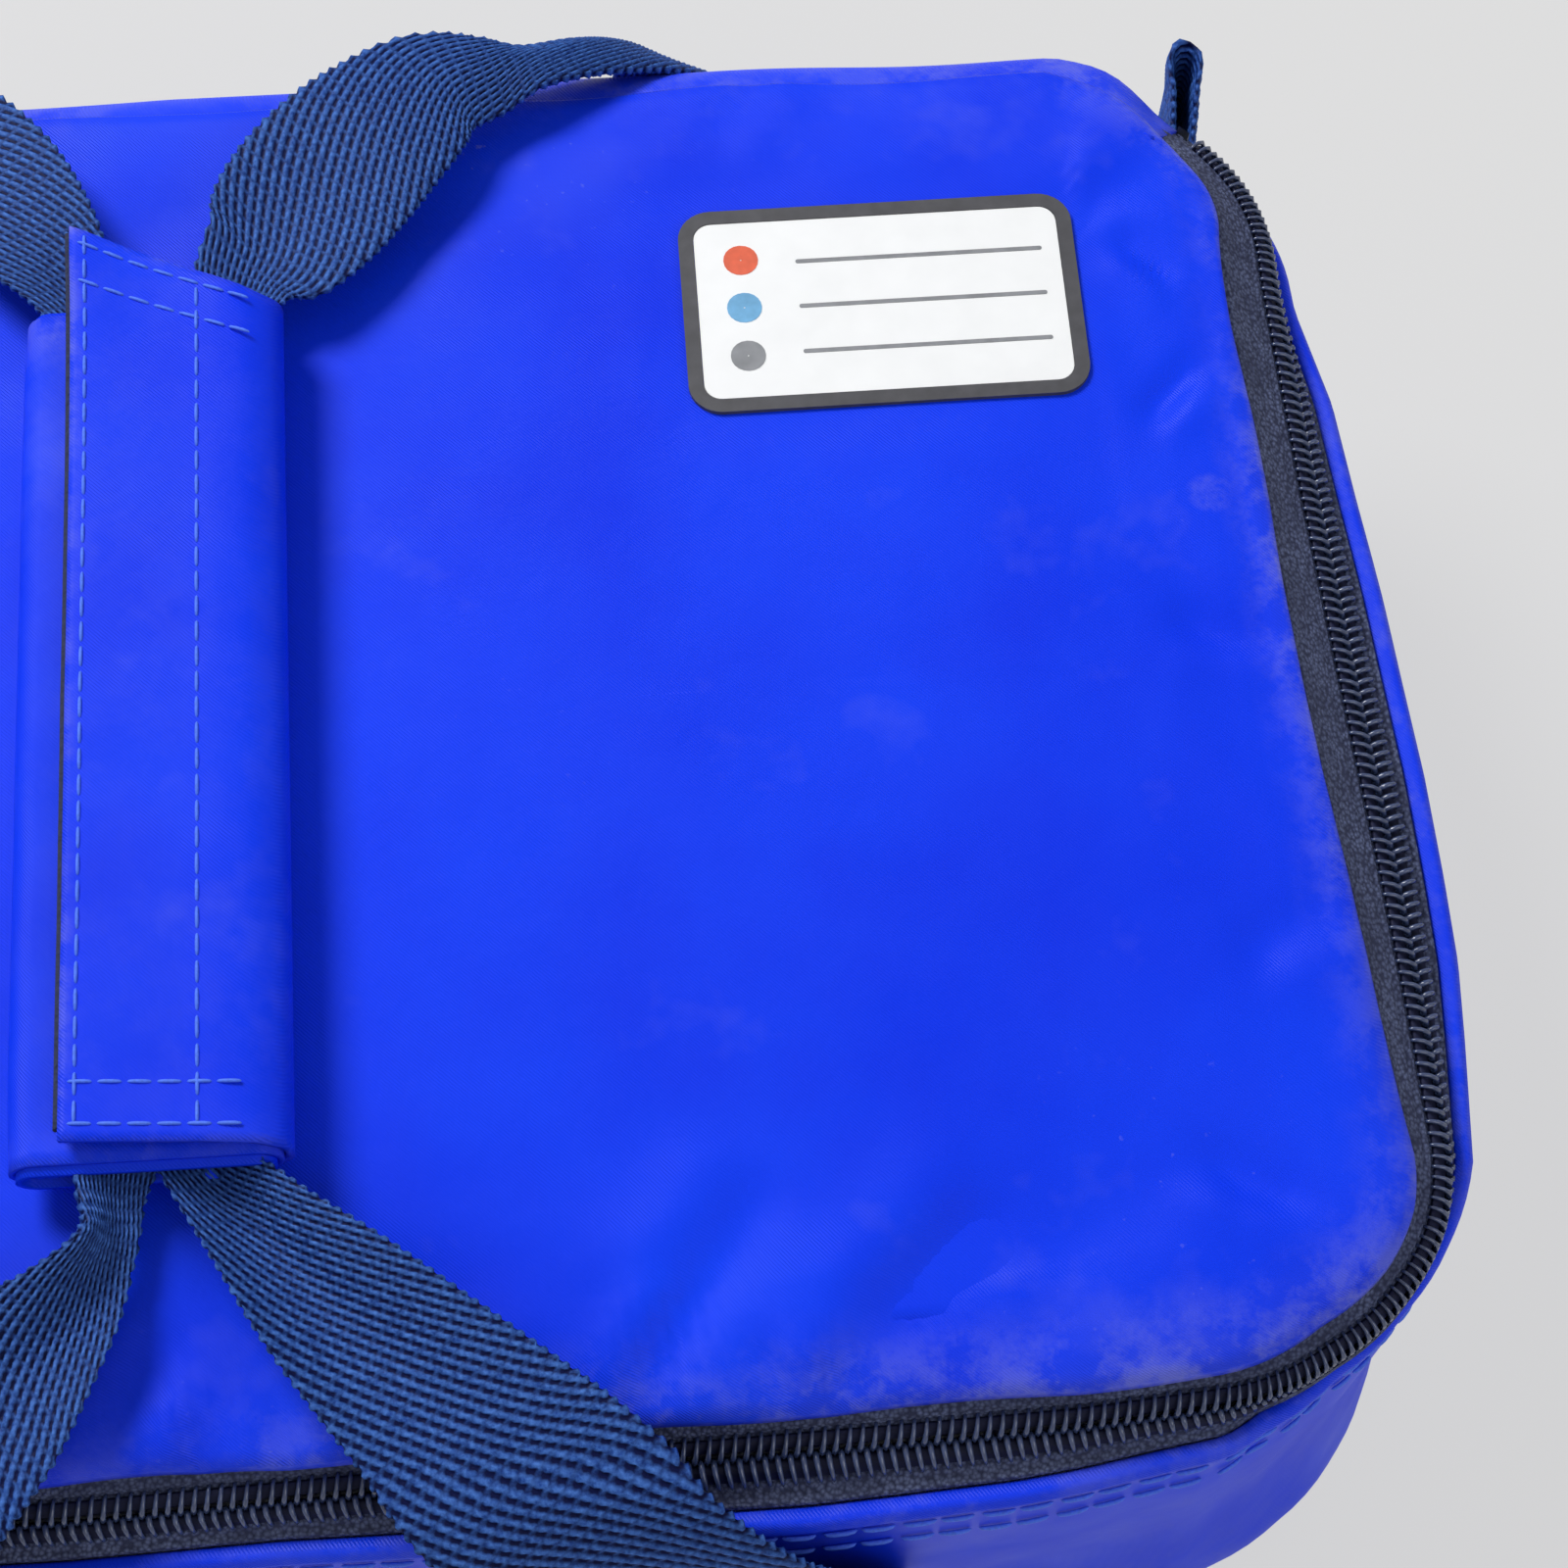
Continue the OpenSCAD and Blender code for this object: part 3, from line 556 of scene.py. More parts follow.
def stains(tree):
    """A few faint round marks and pale smudges."""
    cells = add(tree, "ShaderNodeTexVoronoi", Vector=where(tree), Scale=24.0)
    spot = spread(tree, cells.outputs["Distance"], 0.075, 0.055)
    parts = tree.nodes.new("ShaderNodeSeparateColor")
    tree.links.new(cells.outputs["Color"], parts.inputs[0])
    chosen = spread(tree, parts.outputs[0], 0.66, 0.68)
    grain = spread(tree, noise(tree, 500, 3, 0.7), 0.35, 0.7, 0.0, 0.22)
    smudge = spread(tree, noise(tree, 34, 4, 0.7), 0.60, 0.80, 0.0, 0.16)
    return sums(tree, "ADD", sums(tree, "MULTIPLY", sums(tree, "MULTIPLY", spot, chosen), grain), smudge)


def cloth_material(name, worn=True):
    """Coated cobalt twill: fine diagonal weave, pale scuffs on the folds, faint marks."""
    material, tree, shader = new_material(name)
    cloudy = spread(tree, noise(tree, 26, 4), 0.3, 0.7)
    blue = blend_colour(tree, cloudy, COBALT_DEEP, COBALT)
    if worn:
        patches = spread(tree, noise(tree, 150, 6, 0.75), 0.44, 0.60, 0.12, 1.0)
        patches = sums(tree, "MULTIPLY", patches, spread(tree, noise(tree, 30, 3), 0.36, 0.58, 0.15, 0.9))
        rubbed = sums(tree, "MULTIPLY", attribute(tree, "wear"), patches)
        flecks = spread(tree, noise(tree, 900, 2, 0.6), 0.70, 0.78, 0.0, 0.35)
        fine = spread(tree, noise(tree, 16, 3), 0.5, 0.7)
        flecks = sums(tree, "MULTIPLY", flecks, fine)
        rubbed = sums(tree, "ADD", rubbed, flecks, clamp=True)
        rubbed = sums(tree, "ADD", rubbed, stains(tree), clamp=True)
        blue = blend_colour(tree, rubbed, blue, SCUFF)
    tree.links.new(blue, shader.inputs["Base Color"])
    tree.links.new(spread(tree, noise(tree, 60, 3), 0.3, 0.7, 0.4, 0.55), shader.inputs["Roughness"])
    shader.inputs["Specular IOR Level"].default_value = 0.15
    twill = waves(tree, 1400, "DIAGONAL", 0.8)
    creases = noise(tree, 120, 4)
    height = sums(tree, "ADD", sums(tree, "MULTIPLY", twill, 0.12), sums(tree, "MULTIPLY", creases, 0.55))
    bump(tree, shader, height, 0.6, 0.5)
    return material


def webbing_material():
    """Navy polypropylene webbing, with a painted highlight on the weave's crowns and painted shade in its
    hollows.
    """
    material, tree, shader = new_material("webbing")
    fibres = spread(tree, noise(tree, 1500, 3, 0.6), 0.3, 0.7)
    high = spread(tree, attribute(tree, "crown"), 0.22, 0.85)
    # painted shade: the weave's hollows are coloured a near-black navy, its crowns the mid navy
    body = blend_colour(tree, high, NAVY_PAINTED_SHADE, NAVY)
    # painted highlight: the crowns are coloured a light blue, flecked by the fibres
    lit = sums(tree, "MULTIPLY", high, fibres)
    tree.links.new(blend_colour(tree, lit, body, NAVY_PAINTED_HIGHLIGHT), shader.inputs["Base Color"])
    tree.links.new(spread(tree, fibres, 0.0, 1.0, 0.42, 0.62), shader.inputs["Roughness"])
    shader.inputs["Specular IOR Level"].default_value = 0.11
    bump(tree, shader, fibres, 0.5, 0.12)
    return material


def tape_material():
    """Charcoal-navy woven tape with small knots."""
    material, tree, shader = new_material("zip_tape")
    cells = add(tree, "ShaderNodeTexVoronoi", Vector=where(tree), Scale=1900.0).outputs["Distance"]
    pebbles = spread(tree, cells, 0.75, 0.2)
    dust = spread(tree, noise(tree, 160, 4, 0.6), 0.3, 0.7, 0.35, 1.0)
    knots = sums(tree, "MULTIPLY", pebbles, dust)
    tree.links.new(blend_colour(tree, knots, TAPE_DARK, TAPE_LIGHT), shader.inputs["Base Color"])
    tree.links.new(spread(tree, knots, 0.0, 1.0, 0.75, 0.6), shader.inputs["Roughness"])
    shader.inputs["Specular IOR Level"].default_value = 0.25
    bump(tree, shader, pebbles, 0.8, 0.22)
    return material


def plain_material(name, colour, roughness, grain, grain_mm, strength=0.4, shine=0.5, metal=0.0, vary=0.12):
    """One colour with a little unevenness in tone, gloss and surface."""
    material, tree, shader = new_material(name)
    field = noise(tree, grain, 4)
    darker = tuple(c * (1 - vary * 2) for c in colour)
    tree.links.new(blend_colour(tree, spread(tree, field, 0.3, 0.7), darker, colour),
                   shader.inputs["Base Color"])
    tree.links.new(spread(tree, noise(tree, grain * 0.4, 3), 0.3, 0.7, roughness - 0.06, roughness + 0.08),
                   shader.inputs["Roughness"])
    shader.inputs["Specular IOR Level"].default_value = shine
    shader.inputs["Metallic"].default_value = metal
    bump(tree, shader, field, strength, grain_mm)
    return material


COBALT, COBALT_DEEP, SCUFF = (0.002, 0.046, 0.87), (0.001, 0.028, 0.76), (0.19, 0.21, 0.68)
# The webbing's colours: a mid navy, a near-black navy as painted shade in the weave's hollows, and a light
# blue as painted highlight on its crowns.
NAVY, NAVY_PAINTED_SHADE, NAVY_PAINTED_HIGHLIGHT = (0.012, 0.050, 0.25), (0.001, 0.004, 0.045), (0.066, 0.18, 0.56)
TAPE_DARK, TAPE_LIGHT = (0.026, 0.032, 0.075), (0.125, 0.155, 0.29)
OUTER = cloth_material("outer_cloth")
PLAIN_OUTER = cloth_material("outer_cloth_plain", worn=False)
WEBBING = webbing_material()
ZIP_TAPE = tape_material()
COIL = plain_material("zip_coil", (0.042, 0.064, 0.155), 0.22, 700, 0.05, 0.2, 0.95)
COIL_CORD = plain_material("zip_coil_cord", (0.012, 0.015, 0.05), 0.6, 900, 0.1, 0.4, 0.2)
METAL = plain_material("slider_metal", (0.055, 0.065, 0.09), 0.34, 300, 0.08, 0.25, 0.6, 0.6)
THREAD = plain_material("thread", (0.085, 0.20, 0.92), 0.6, 2500, 0.08, 0.6, 0.25)
FOAM = plain_material("foam", (0.88, 0.88, 0.86), 0.85, 900, 0.3, 0.6, 0.2)
LINING = plain_material("lining", (0.72, 0.74, 0.76), 0.32, 90, 0.8, 0.5, 0.5, vary=0.04)
TOUCH = plain_material("touch_fastener", (0.042, 0.050, 0.09), 0.9, 1400, 0.4, 1.0, 0.15)
LABEL_DARK = plain_material("label_border", (0.075, 0.075, 0.085), 0.5, 500, 0.05, 0.3, 0.4)
LABEL_WHITE = plain_material("label_face", (0.84, 0.85, 0.86), 0.38, 220, 0.08, 0.2, 0.45, vary=0.02)
MARK_WARM = plain_material("label_mark_warm", (0.78, 0.13, 0.06), 0.45, 500, 0.04, 0.2)
MARK_COOL = plain_material("label_mark_cool", (0.16, 0.42, 0.70), 0.45, 500, 0.04, 0.2)
MARK_GREY = plain_material("label_mark_grey", (0.25, 0.26, 0.28), 0.5, 500, 0.04, 0.2)


# ---------------------------------------------------------------- body

def on_band(u, v):
    """A place on the zip's slope: u runs down it, v stands out of it."""
    return (BAND_S + u * math.cos(BAND_ANGLE) + v * math.sin(BAND_ANGLE),
            BAND_Z - u * math.sin(BAND_ANGLE) + v * math.cos(BAND_ANGLE))


def build_walls():
    """Outer cloth, bead, foam and lining of the four walls."""
    section = wall_ring(0, CLOTH, WALL_TOP)
    wear = np.interp(section[:, 1], [0, 6, 14, 60, 72], [0.7, 0.5, 0.1, 0.0, 0.35])
    for name, start, end, node in (("side_wall_cloth", ZIP_START, ZIP_END, "front_side_wall"),
                                   ("back_wall_cloth", ZIP_END, AROUND + ZIP_START, "back_wall")):
        cloth = sweep(name, start, end, 2.5, section, OUTER, "outer_cloth", wear=wear)
        dress(cloth, node, "shell")
    angle = np.linspace(0, 2 * np.pi, 24, endpoint=False)
    reach = BEAD_R * (0.93 + 0.09 * np.abs(np.cos(2.5 * angle)))
    ring = np.stack([BEAD_S + reach * np.cos(angle), BEAD_Z + reach * np.sin(angle)], -1)
    bead = sweep("rim_bead_cloth", ZIP_START, ZIP_END, 2, ring, OUTER, "outer_cloth", wear=np.full(24, 0.25))
    dress(bead, "rim_bead", "shell")
    foam = sweep("wall_padding", 0, AROUND, 5, wall_ring(1.1, 7.1, 69), FOAM, "foam", closed=True)
    dress(foam, "wall_foam", "shell")
    film = wall_ring(7.2, 8.0, WALL_TOP)
    lining = sweep("wall_lining_film", 0, AROUND, 3, film, LINING, "lining", closed=True)
    dress(lining, "wall_lining", "shell")


def flat_slab(name, s, low, high, material, slot, node, body, bow=0.0, seed=5):
    """A thin level layer with softly rounded edges."""
    mid = (low + high) / 2
    rim = [(s - 0.6, low, 0), (s - 0.1, low + (mid - low) * 0.4, 0), (s, mid, 0),
           (s - 0.1, high - (high - mid) * 0.4, 0), (s - 0.6, high, 0)]

    def face(level):
        return lambda x, y: level + bow * ripples(x, y, (90, 61, 38), seed)

    piece = slab(name, rim, face(high), face(low), material, slot, step=4, rings=14)
    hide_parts(node)
    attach(piece, body)
    return piece


def build_base():
    flat_slab("base_cloth", 24, 0, 1, PLAIN_OUTER, "outer_cloth", "base_panel", "shell")
    flat_slab("base_padding", 24, 1.1, 7.1, FOAM, "foam", "base_foam", "shell")
    flat_slab("base_lining_film", 24, 7.25, 8.0, LINING, "lining", "base_lining", "shell", bow=0.12)


def hang_of(length):
    """How far the lid's edge hangs out, with the small puckers that its seam pulls into it."""
    puckers = 0.7 * ripples(length, 0 * length, (17, 11, 27, 39), 21)
    return np.maximum(np.interp(stage_of(length), HANG_AT, HANG_BY) + puckers, 0.9)


def back_share(length):
    """1 along the hinged back edge, 0 where the zip runs."""
    return np.interp(stage_of(length), [0, .15, .5, 6.5, 6.85, 8], [1, 1, 0, 0, 1, 1])


def lid_wear(length):
    """Scuffs lie along the right side and the front edge of the lid."""
    return np.interp(stage_of(length), [0, .6, 1, 2, 3, 3.5, 4, 5, 6, 7, 8],
                     [.3, .9, 1, .9, .8, .6, .8, .8, .5, .1, .1])


def build_lid():
    rim = [(18.4, 84.9, 0, 0), (18.5, 79.0, 0, 0), (18.9, 78.2, 0, 0), (19.6, 78.4, 0.05, 0),
           (20.0, 79.6, 0.3, 0.1), (20.0, 80.9, 0.72, 1), (20.0, 82.2, 1.0, 1), (19.9, 83.5, 0.98, .9),
           (19.4, 84.7, 0.82, 0.55), (18.4, 85.5, 0.5, 0.3), (16.6, 85.9, 0.35, 0.1), (14.0, 86.1, 0.25, 0)]

    def dents(x, y):
        q, _, _, s = place_of(x, y)
        length = np.interp(np.mod(q, 8), np.arange(9), KNOTS)
        pull = 0.5 * ripples(length, s * 0.6, (19, 13, 29), 8) * smooth((s + 4) / 18)
        front = np.exp(-((y + 72) / 13) ** 2) * 0.9 * ripples(x - 0.75 * y, y * 0.25, (34, 23, 47), 14)
        return creased(x, y) - pull - front

    def top(x, y):
        s = place_of(x, y)[3]
        flat = smooth((14 - s) / 12)
        return lid_height(x, y) * flat + 86.1 * (1 - flat) - dents(x, y)

    cloth = slab("lid_cloth", rim, top, lambda x, y: 84.9 + 0 * x, OUTER, "outer_cloth", step=1.6,
                 rings=46, hang=hang_of, wear=lid_wear, thin=back_share, dents=dents)
    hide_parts("lid_panel")
    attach(cloth, "lid")
    flat_slab("lid_padding", 17, 78.95, 84.8, FOAM, "foam", "lid_foam", "lid")
    flat_slab("lid_lining_film", 18.3, 77.95, 78.8, LINING, "lining", "lid_lining", "lid", bow=0.12)


def build_hinge():
    """The fold of cloth that carries the lid along its back edge; its ends lie flat on the zip's slope."""
    count = 13
    t = np.radians(np.linspace(0, 90, count))
    inner_s, top, drop = 21.0, 84.9, 12.5
    outwards, fall = np.sin(t) ** 0.8, 1 - np.cos(t) ** 0.7
    outer = np.stack([inner_s + 13.4 * outwards, top - drop * fall], -1)
    inner = np.stack([inner_s + 12.2 * outwards, top - CLOTH - (drop - CLOTH) * fall], -1)
    ring = np.concatenate([outer, inner[::-1]])
    wear = np.concatenate([np.interp(np.arange(count), [0, 3, 7, 12], [.2, .5, .4, .1]), np.zeros(count)])
    on_zip = np.array([on_band(u, 0.95) for u in np.linspace(0.2, 15.5, count)]
                      + [on_band(u, 0.35) for u in np.linspace(15.5, 0.2, count)])
    weight = np.sin(np.radians(np.linspace(0, 180, count)))
    bulge = np.concatenate([weight, weight[::-1]])[:, None] * np.array([1, 0.7])

    def section(length):
        puffed = 0.5 * ripples(length, 0 * length, (31, 19, 53), 31)
        from_end = np.minimum(length - length[0], length[-1] - length)
        full = smooth(from_end / 14)[:, None, None]
        return ring * full + on_zip * (1 - full) + puffed[:, None, None] * bulge

    fold = sweep("hinge_fold_cloth", ZIP_END + 2, AROUND + ZIP_START - 2, 2, section, OUTER, "outer_cloth",
                 wear=wear)
    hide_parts("hinge_fold")
    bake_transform(fold)


# ---------------------------------------------------------------- zip

def tape_ring(first, last, ridge):
    u = np.linspace(first, last, 22)
    ripple = (0.05 * np.cos(2 * np.pi * u / 1.3) + 0.42 * np.exp(-((u - ridge) / 0.5) ** 2)
              + 0.22 * np.exp(-((u - ridge + 1.5) / 0.5) ** 2))
    under = np.maximum(0, 1 - u / 1.8) ** 2 * 1.5
    top = [on_band(a, TAPE / 2 - 0.05 + b - c) for a, b, c in zip(u, ripple, under)]
    low = [on_band(a, -TAPE / 2 - c) for a, c in zip(u[::-1], under[::-1])]
    return np.array(top + low)


def coil_row(name, near, far_edge, offset, node, body):
    """One row of coil loops: each climbs from the tape and hooks over the middle of the zip."""
    lengths = np.arange(ZIP_START + 2.6 + offset, COIL_END, TOOTH_PITCH)
    reach = far_edge - near
    spine = LOOP[:, :3] * (reach, 1, 1) + (near, 0, 0)
    radius = LOOP[:, 3, None, None]
    ring = np.radians(np.arange(0, 360, 60))[None, :, None]
    tangent = unit(np.gradient(spine, axis=0))
    side = unit(np.cross(tangent, np.array([0, 0, 1.0])))
    up = np.cross(side, tangent)
    local = spine[:, None] + radius * (np.cos(ring) * side[:, None] + np.sin(ring) * up[:, None])
    u, v, w = local[..., 0].ravel(), local[..., 1].ravel(), local[..., 2].ravel()
    s, z = on_band(u, v)
    where_along = lengths[:, None] + w[None]
    centre, out = outline(where_along)
    points = np.empty(where_along.shape + (3,))
    points[..., :2] = centre + out * s[None, :, None]
    points[..., 2] = z[None]
    block = grid(6, 6, close_cols=True) + [list(range(6)), list(range(30, 36))]
    faces = [[k * 36 + v for v in face] for k in range(len(lengths)) for face in block]
    dress(make(name, soften(points.reshape(-1, 3)), faces, COIL, "zip_coil"), node, body)
    cord = [on_band(near + share * reach, rise)
            for share, rise in ((0.1, 0.42), (0.1, 0.85), (0.75, 1.0), (0.9, 0.42))]
    core = sweep(name + "_cord", ZIP_START + 2, COIL_END, 2.5, np.array(cord), COIL_CORD, "zip_coil")
    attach(core, body)


def build_zip():
    """Both tapes and both rows of coil loops."""
    for name, first, last, ridge, node, body in (
            ("upper_tape_cloth", 0, UPPER_EDGE, 7.7, "upper_zip_tape", "lid"),
            ("lower_tape_cloth", LOWER_EDGE, BAND_END, 15.2, "lower_zip_tape", "shell")):
        ring = tape_ring(first, last, ridge)
        dress(sweep(name, ZIP_START - 4.5, ZIP_END, 2, ring, ZIP_TAPE, "zip_tape"), node, body)
    coil_row("upper_coil_loops", UPPER_EDGE - COIL_ROW, UPPER_EDGE + 0.2, 0, "upper_zip_coil", "lid")
    coil_row("lower_coil_loops", LOWER_EDGE + COIL_ROW, LOWER_EDGE - 0.2, TOOTH_PITCH / 2,
             "lower_zip_coil", "shell")


# ---------------------------------------------------------------- handles

# Stations of the handle legs: x, y, z, width direction, width, cup and curl.
RIGHT_FRONT = [
    (67, -94.3, 40.5, 1, 0, 0, 25, 0, 0), (66, -95.0, 50, .97, 0, .2, 25, 0, 0),
    (62.5, -96.4, 59.5, .92, 0, .38, 25, .1, 0), (56.8, -97.4, 69, .88, .06, .46, 25, .2, 0),
    (50.4, -96.4, 77, .87, .2, .44, 25, .2, 0), (43.7, -93.2, 83.6, .84, .38, .36, 25, .1, 0),
    (37.0, -88.3, 87.6, .78, .56, .26, 24.3, 0, 0), (29.6, -80.6, 90.8, .77, .61, .17, 21, 1.4, -.5),
    (19.6, -69.8, 94.2, .77, .63, .12, 16.8, 3.8, -1.0), (11.8, -60.8, 95, .76, .64, .11, 11.6, 4.8, -.8),
    (6.3, -53.4, 93.6, 1, .04, .05, 9, 3.0, 0), (4.5, -46, 92.0, 1, 0, 0, 14, 0, 0)]
LEFT_FRONT = [
    (-67.5, -94.4, 40.5, .8, 0, -.6, 25, 0, 0), (-61, -94.6, 48, .74, 0, -.67, 25, .2, 0),
    (-53, -94.9, 56, .72, 0, -.69, 25, .3, 0), (-46, -95.2, 65.5, .78, 0, -.62, 25, .3, 0),
    (-39.8, -95.2, 75, .83, 0, -.56, 25.4, .3, 0), (-33, -91.4, 83.4, .84, -.25, -.46, 25.4, .2, 0),
    (-25.5, -84.2, 88.8, .82, -.5, -.2, 24.4, .8, 0), (-16, -76, 91.6, .8, -.56, -.14, 20, 2.0, .5),
    (-8, -68.5, 93.0, .8, -.5, -.32, 12, 2.4, .8), (-3.6, -61.5, 93.2, .62, -.2, -.74, 7.5, 1.4, .5),
    (-3.2, -55, 93.0, .85, 0, -.4, 8, .8, .2), (-1, -46, 93.2, 1, 0, 0, 12, 0, 0)]
RIGHT_BACK = [
    (5.5, 44, 92.0, 1, 0, 0, 14, 0, 0), (8.6, 50.5, 92.6, .95, -.3, 0, 10, .8, 0),
    (11.6, 56, 93.2, .82, -.56, -.04, 13, 2.2, 0), (14.6, 59.4, 93.3, .83, -.54, -.09, 18.4, 2.2, -.3),
    (18.2, 64.2, 93.4, .85, -.51, -.11, 21.2, 1.6, -.3), (22.6, 69.9, 93.2, .87, -.47, -.12, 21.6, .6, 0),
    (28.1, 76.1, 92.9, .9, -.41, -.13, 19.9, -.6, 0), (34.4, 82, 92, .92, -.34, -.16, 16.2, -1.2, 0),
    (41, 84.4, 90.6, .85, -.45, -.2, 11.5, -1.6, 0), (46.8, 86.3, 89.4, .78, -.6, .1, 8, -1.6, 0),
    (53.2, 89.2, 86.8, .75, -.6, .1, 8, -1.6, 0), (59, 92.6, 81.6, .85, -.4, 0, 10, -1.2, 0),
    (63.2, 94.8, 74, .95, -.2, 0, 15, -.6, 0), (65.4, 95.2, 65, 1, 0, 0, 22, 0, 0),
    (66, 94.2, 55, 1, 0, 0, 25, 0, 0),
    (66, 93.1, 44, 1, 0, 0, 25, 0, 0)]
LEFT_BACK = [
    (-1, 42, 93.4, 1, 0, 0, 14, 0, 0), (-5, 48, 93.5, 1, .1, 0, 11, 1, 0),
    (-8.4, 55, 93.8, .86, .5, .02, 10.5, 1.8, 0), (-13.2, 62.6, 94.2, .82, .57, .02, 15, 1.6, 0),
    (-20.4, 72.2, 93.6, .82, .57, 0, 18.5, 1.2, 0), (-30, 80, 92.0, .84, .5, .2, 20.5, .6, 0),
    (-42, 86, 89.6, .7, .3, .6, 21, -.4, 0), (-53, 92, 84, .62, .1, .76, 23, -.4, 0),
    (-60.5, 95.2, 73, .78, 0, .6, 25, -.3, 0), (-65, 94.0, 57, .97, 0, .2, 25, 0, 0),
    (-66, 93.1, 44, 1, 0, 0, 25, 0, 0)]


def build_handles():
    """Both handles: two free legs each, which bend from shell to handle, and a hidden middle."""
    for side, name, front, back, level in ((1, "right", RIGHT_FRONT, RIGHT_BACK, 92.0),
                                           (-1, "left", LEFT_FRONT, LEFT_BACK, 93.9)):
        body = name + "_handle"
        for end, facing, stations in (("front", -1, front), ("back", 1, back)):
            leg = webbing(f"{name}_{end}_leg", stations)
            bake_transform(leg)
        inside = [(at, y, level, 1, 0, 0, width, 0, 0) for at, y, width in
                  ((front[-1][0], -49, 17), (GRIP_X, -35, 21), (GRIP_X, 30, 21), (back[0][0], 45, 17))]
        dress(webbing(name + "_strap_inside", inside, thickness=1.2), name + "_strap", body)


def build_strap_ends():
    """The four sewn ends, each with a box-and-cross seam."""
    rows = []
    for side, name in ((1, "right"), (-1, "left")):
        for facing, end in ((-1, "front"), (1, "back")):
            x, y = ANCHOR_X * side, facing * 92.95
            rise = [(x, y, ANCHOR_Z + up, facing, 0, 0, WEB_W, 0, 0) for up in (0, ANCHOR_L / 2, ANCHOR_L)]
            dress(webbing(f"{name}_{end}_end", rise), f"{name}_{end}_strap_end", "shell")
            far = y + facing * 0.85
            left, right, low, high = x - 9.5, x + 9.5, ANCHOR_Z + 3, ANCHOR_Z + ANCHOR_L - 3
            corners = [(left, far, low), (right, far, low), (right, far, high), (left, far, high)]
            for first, second in ((0, 1), (1, 2), (2, 3), (3, 0), (0, 2), (1, 3)):
                rows.append(([corners[first], corners[second]], (0, facing, 0)))
    dress(stitches("strap_end_seams", rows, 2.6, radius=0.36), "strap_end_stitching", "shell")


def oval(width, height, count=15):
    """Points round a flat tube's section."""
    r = height / 2
    right = turned((width / 2 - r, 0), r, -90, 90, count)
    left = turned((r - width / 2, 0), r, 90, 270, count)
    return np.concatenate([right, left])


def build_wrap():
    """The closed wrap: an outer and an inner layer with folded, slightly ragged ends."""
    mid_z = (WRAP_Z + WRAP_TOP) / 2
    for name, inset, shorter, material in (("wrap_outer_cloth", 0, 0, OUTER),
                                           ("wrap_inner_cloth", 0.75, -0.9, PLAIN_OUTER)):
        y = np.linspace(GRIP_LOW + shorter, GRIP_HIGH - shorter, 64)
        near_end = np.exp(-((GRIP_L / 2 - np.abs(y - GRIP_Y)) / 5) ** 2)
        layers = []
        for inner in (0, 0.7):
            shape = oval(GRIP_W - 2 * (inset + inner), WRAP_TOP - WRAP_Z - 2 * (inset + inner))
            ragged = 0.5 * ripples(shape[:, 0], shape[:, 1], (23, 15), 40)
            face = np.empty((len(y), len(shape), 3))
            face[:, :, 0] = GRIP_X + shape[None, :, 0] * (1 - 0.02 * near_end[:, None])
            face[:, :, 1] = y[:, None] + ragged[None] * near_end[:, None]
            face[:, :, 2] = mid_z + shape[None, :, 1] * (1 + 0.05 * near_end[:, None])
            face[:, :, 2] += 0.18 * ripples(face[:, :, 0], face[:, :, 1], (31, 22, 14), 41)
            layers.append(face)
        loop = np.concatenate([layers[0], layers[1][::-1]], axis=0)
        rows, cols = loop.shape[:2]
        wear = np.repeat(0.05 + 0.3 * np.concatenate([near_end, near_end[::-1]]), cols)
        piece = make(name, loop.reshape(-1, 3), grid(rows, cols, close_rows=True, close_cols=True),
                     material, "outer_cloth", wear=wear)
        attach(piece, "right_handle")
    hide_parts("grip_wrap")


def flap_skew(y, x):
    """The flap was pressed down askew: its free edge sits further back than its fold."""
    share = np.clip((14 - x) / 21.5, 0, 1)
    return share * (1.4 + 7.4 * smooth((y - GRIP_Y + 10) / 62))


def flap_lift(y, x):
    """The flap's far left corner stands up a little, and its free edge is wavy."""
    corner = np.exp(-((y - 52) / 13) ** 2) * np.exp(-((x + 9) / 7) ** 2)
    wave = 0.25 * ripples(y, 0 * y + x * 0.3, (37, 23), 51) * smooth((6 - x) / 12)
    return 2.2 * corner + wave + 0.1 * ripples(y, x, (29, 17), 52)


def touch_strip(name, left, level, node, body):
    """One of the two touch-fastening strips that meet under the flap."""
    middle = level + TOUCH_T / 2
    path = [(left, middle), (0, middle), (9.4, middle)]
    strip = sheet_strip(name, path, GRIP_LOW + 3, GRIP_HIGH - 1, TOUCH_T, TOUCH, "touch_fastener", steps=30)
    dress(strip, node, body)


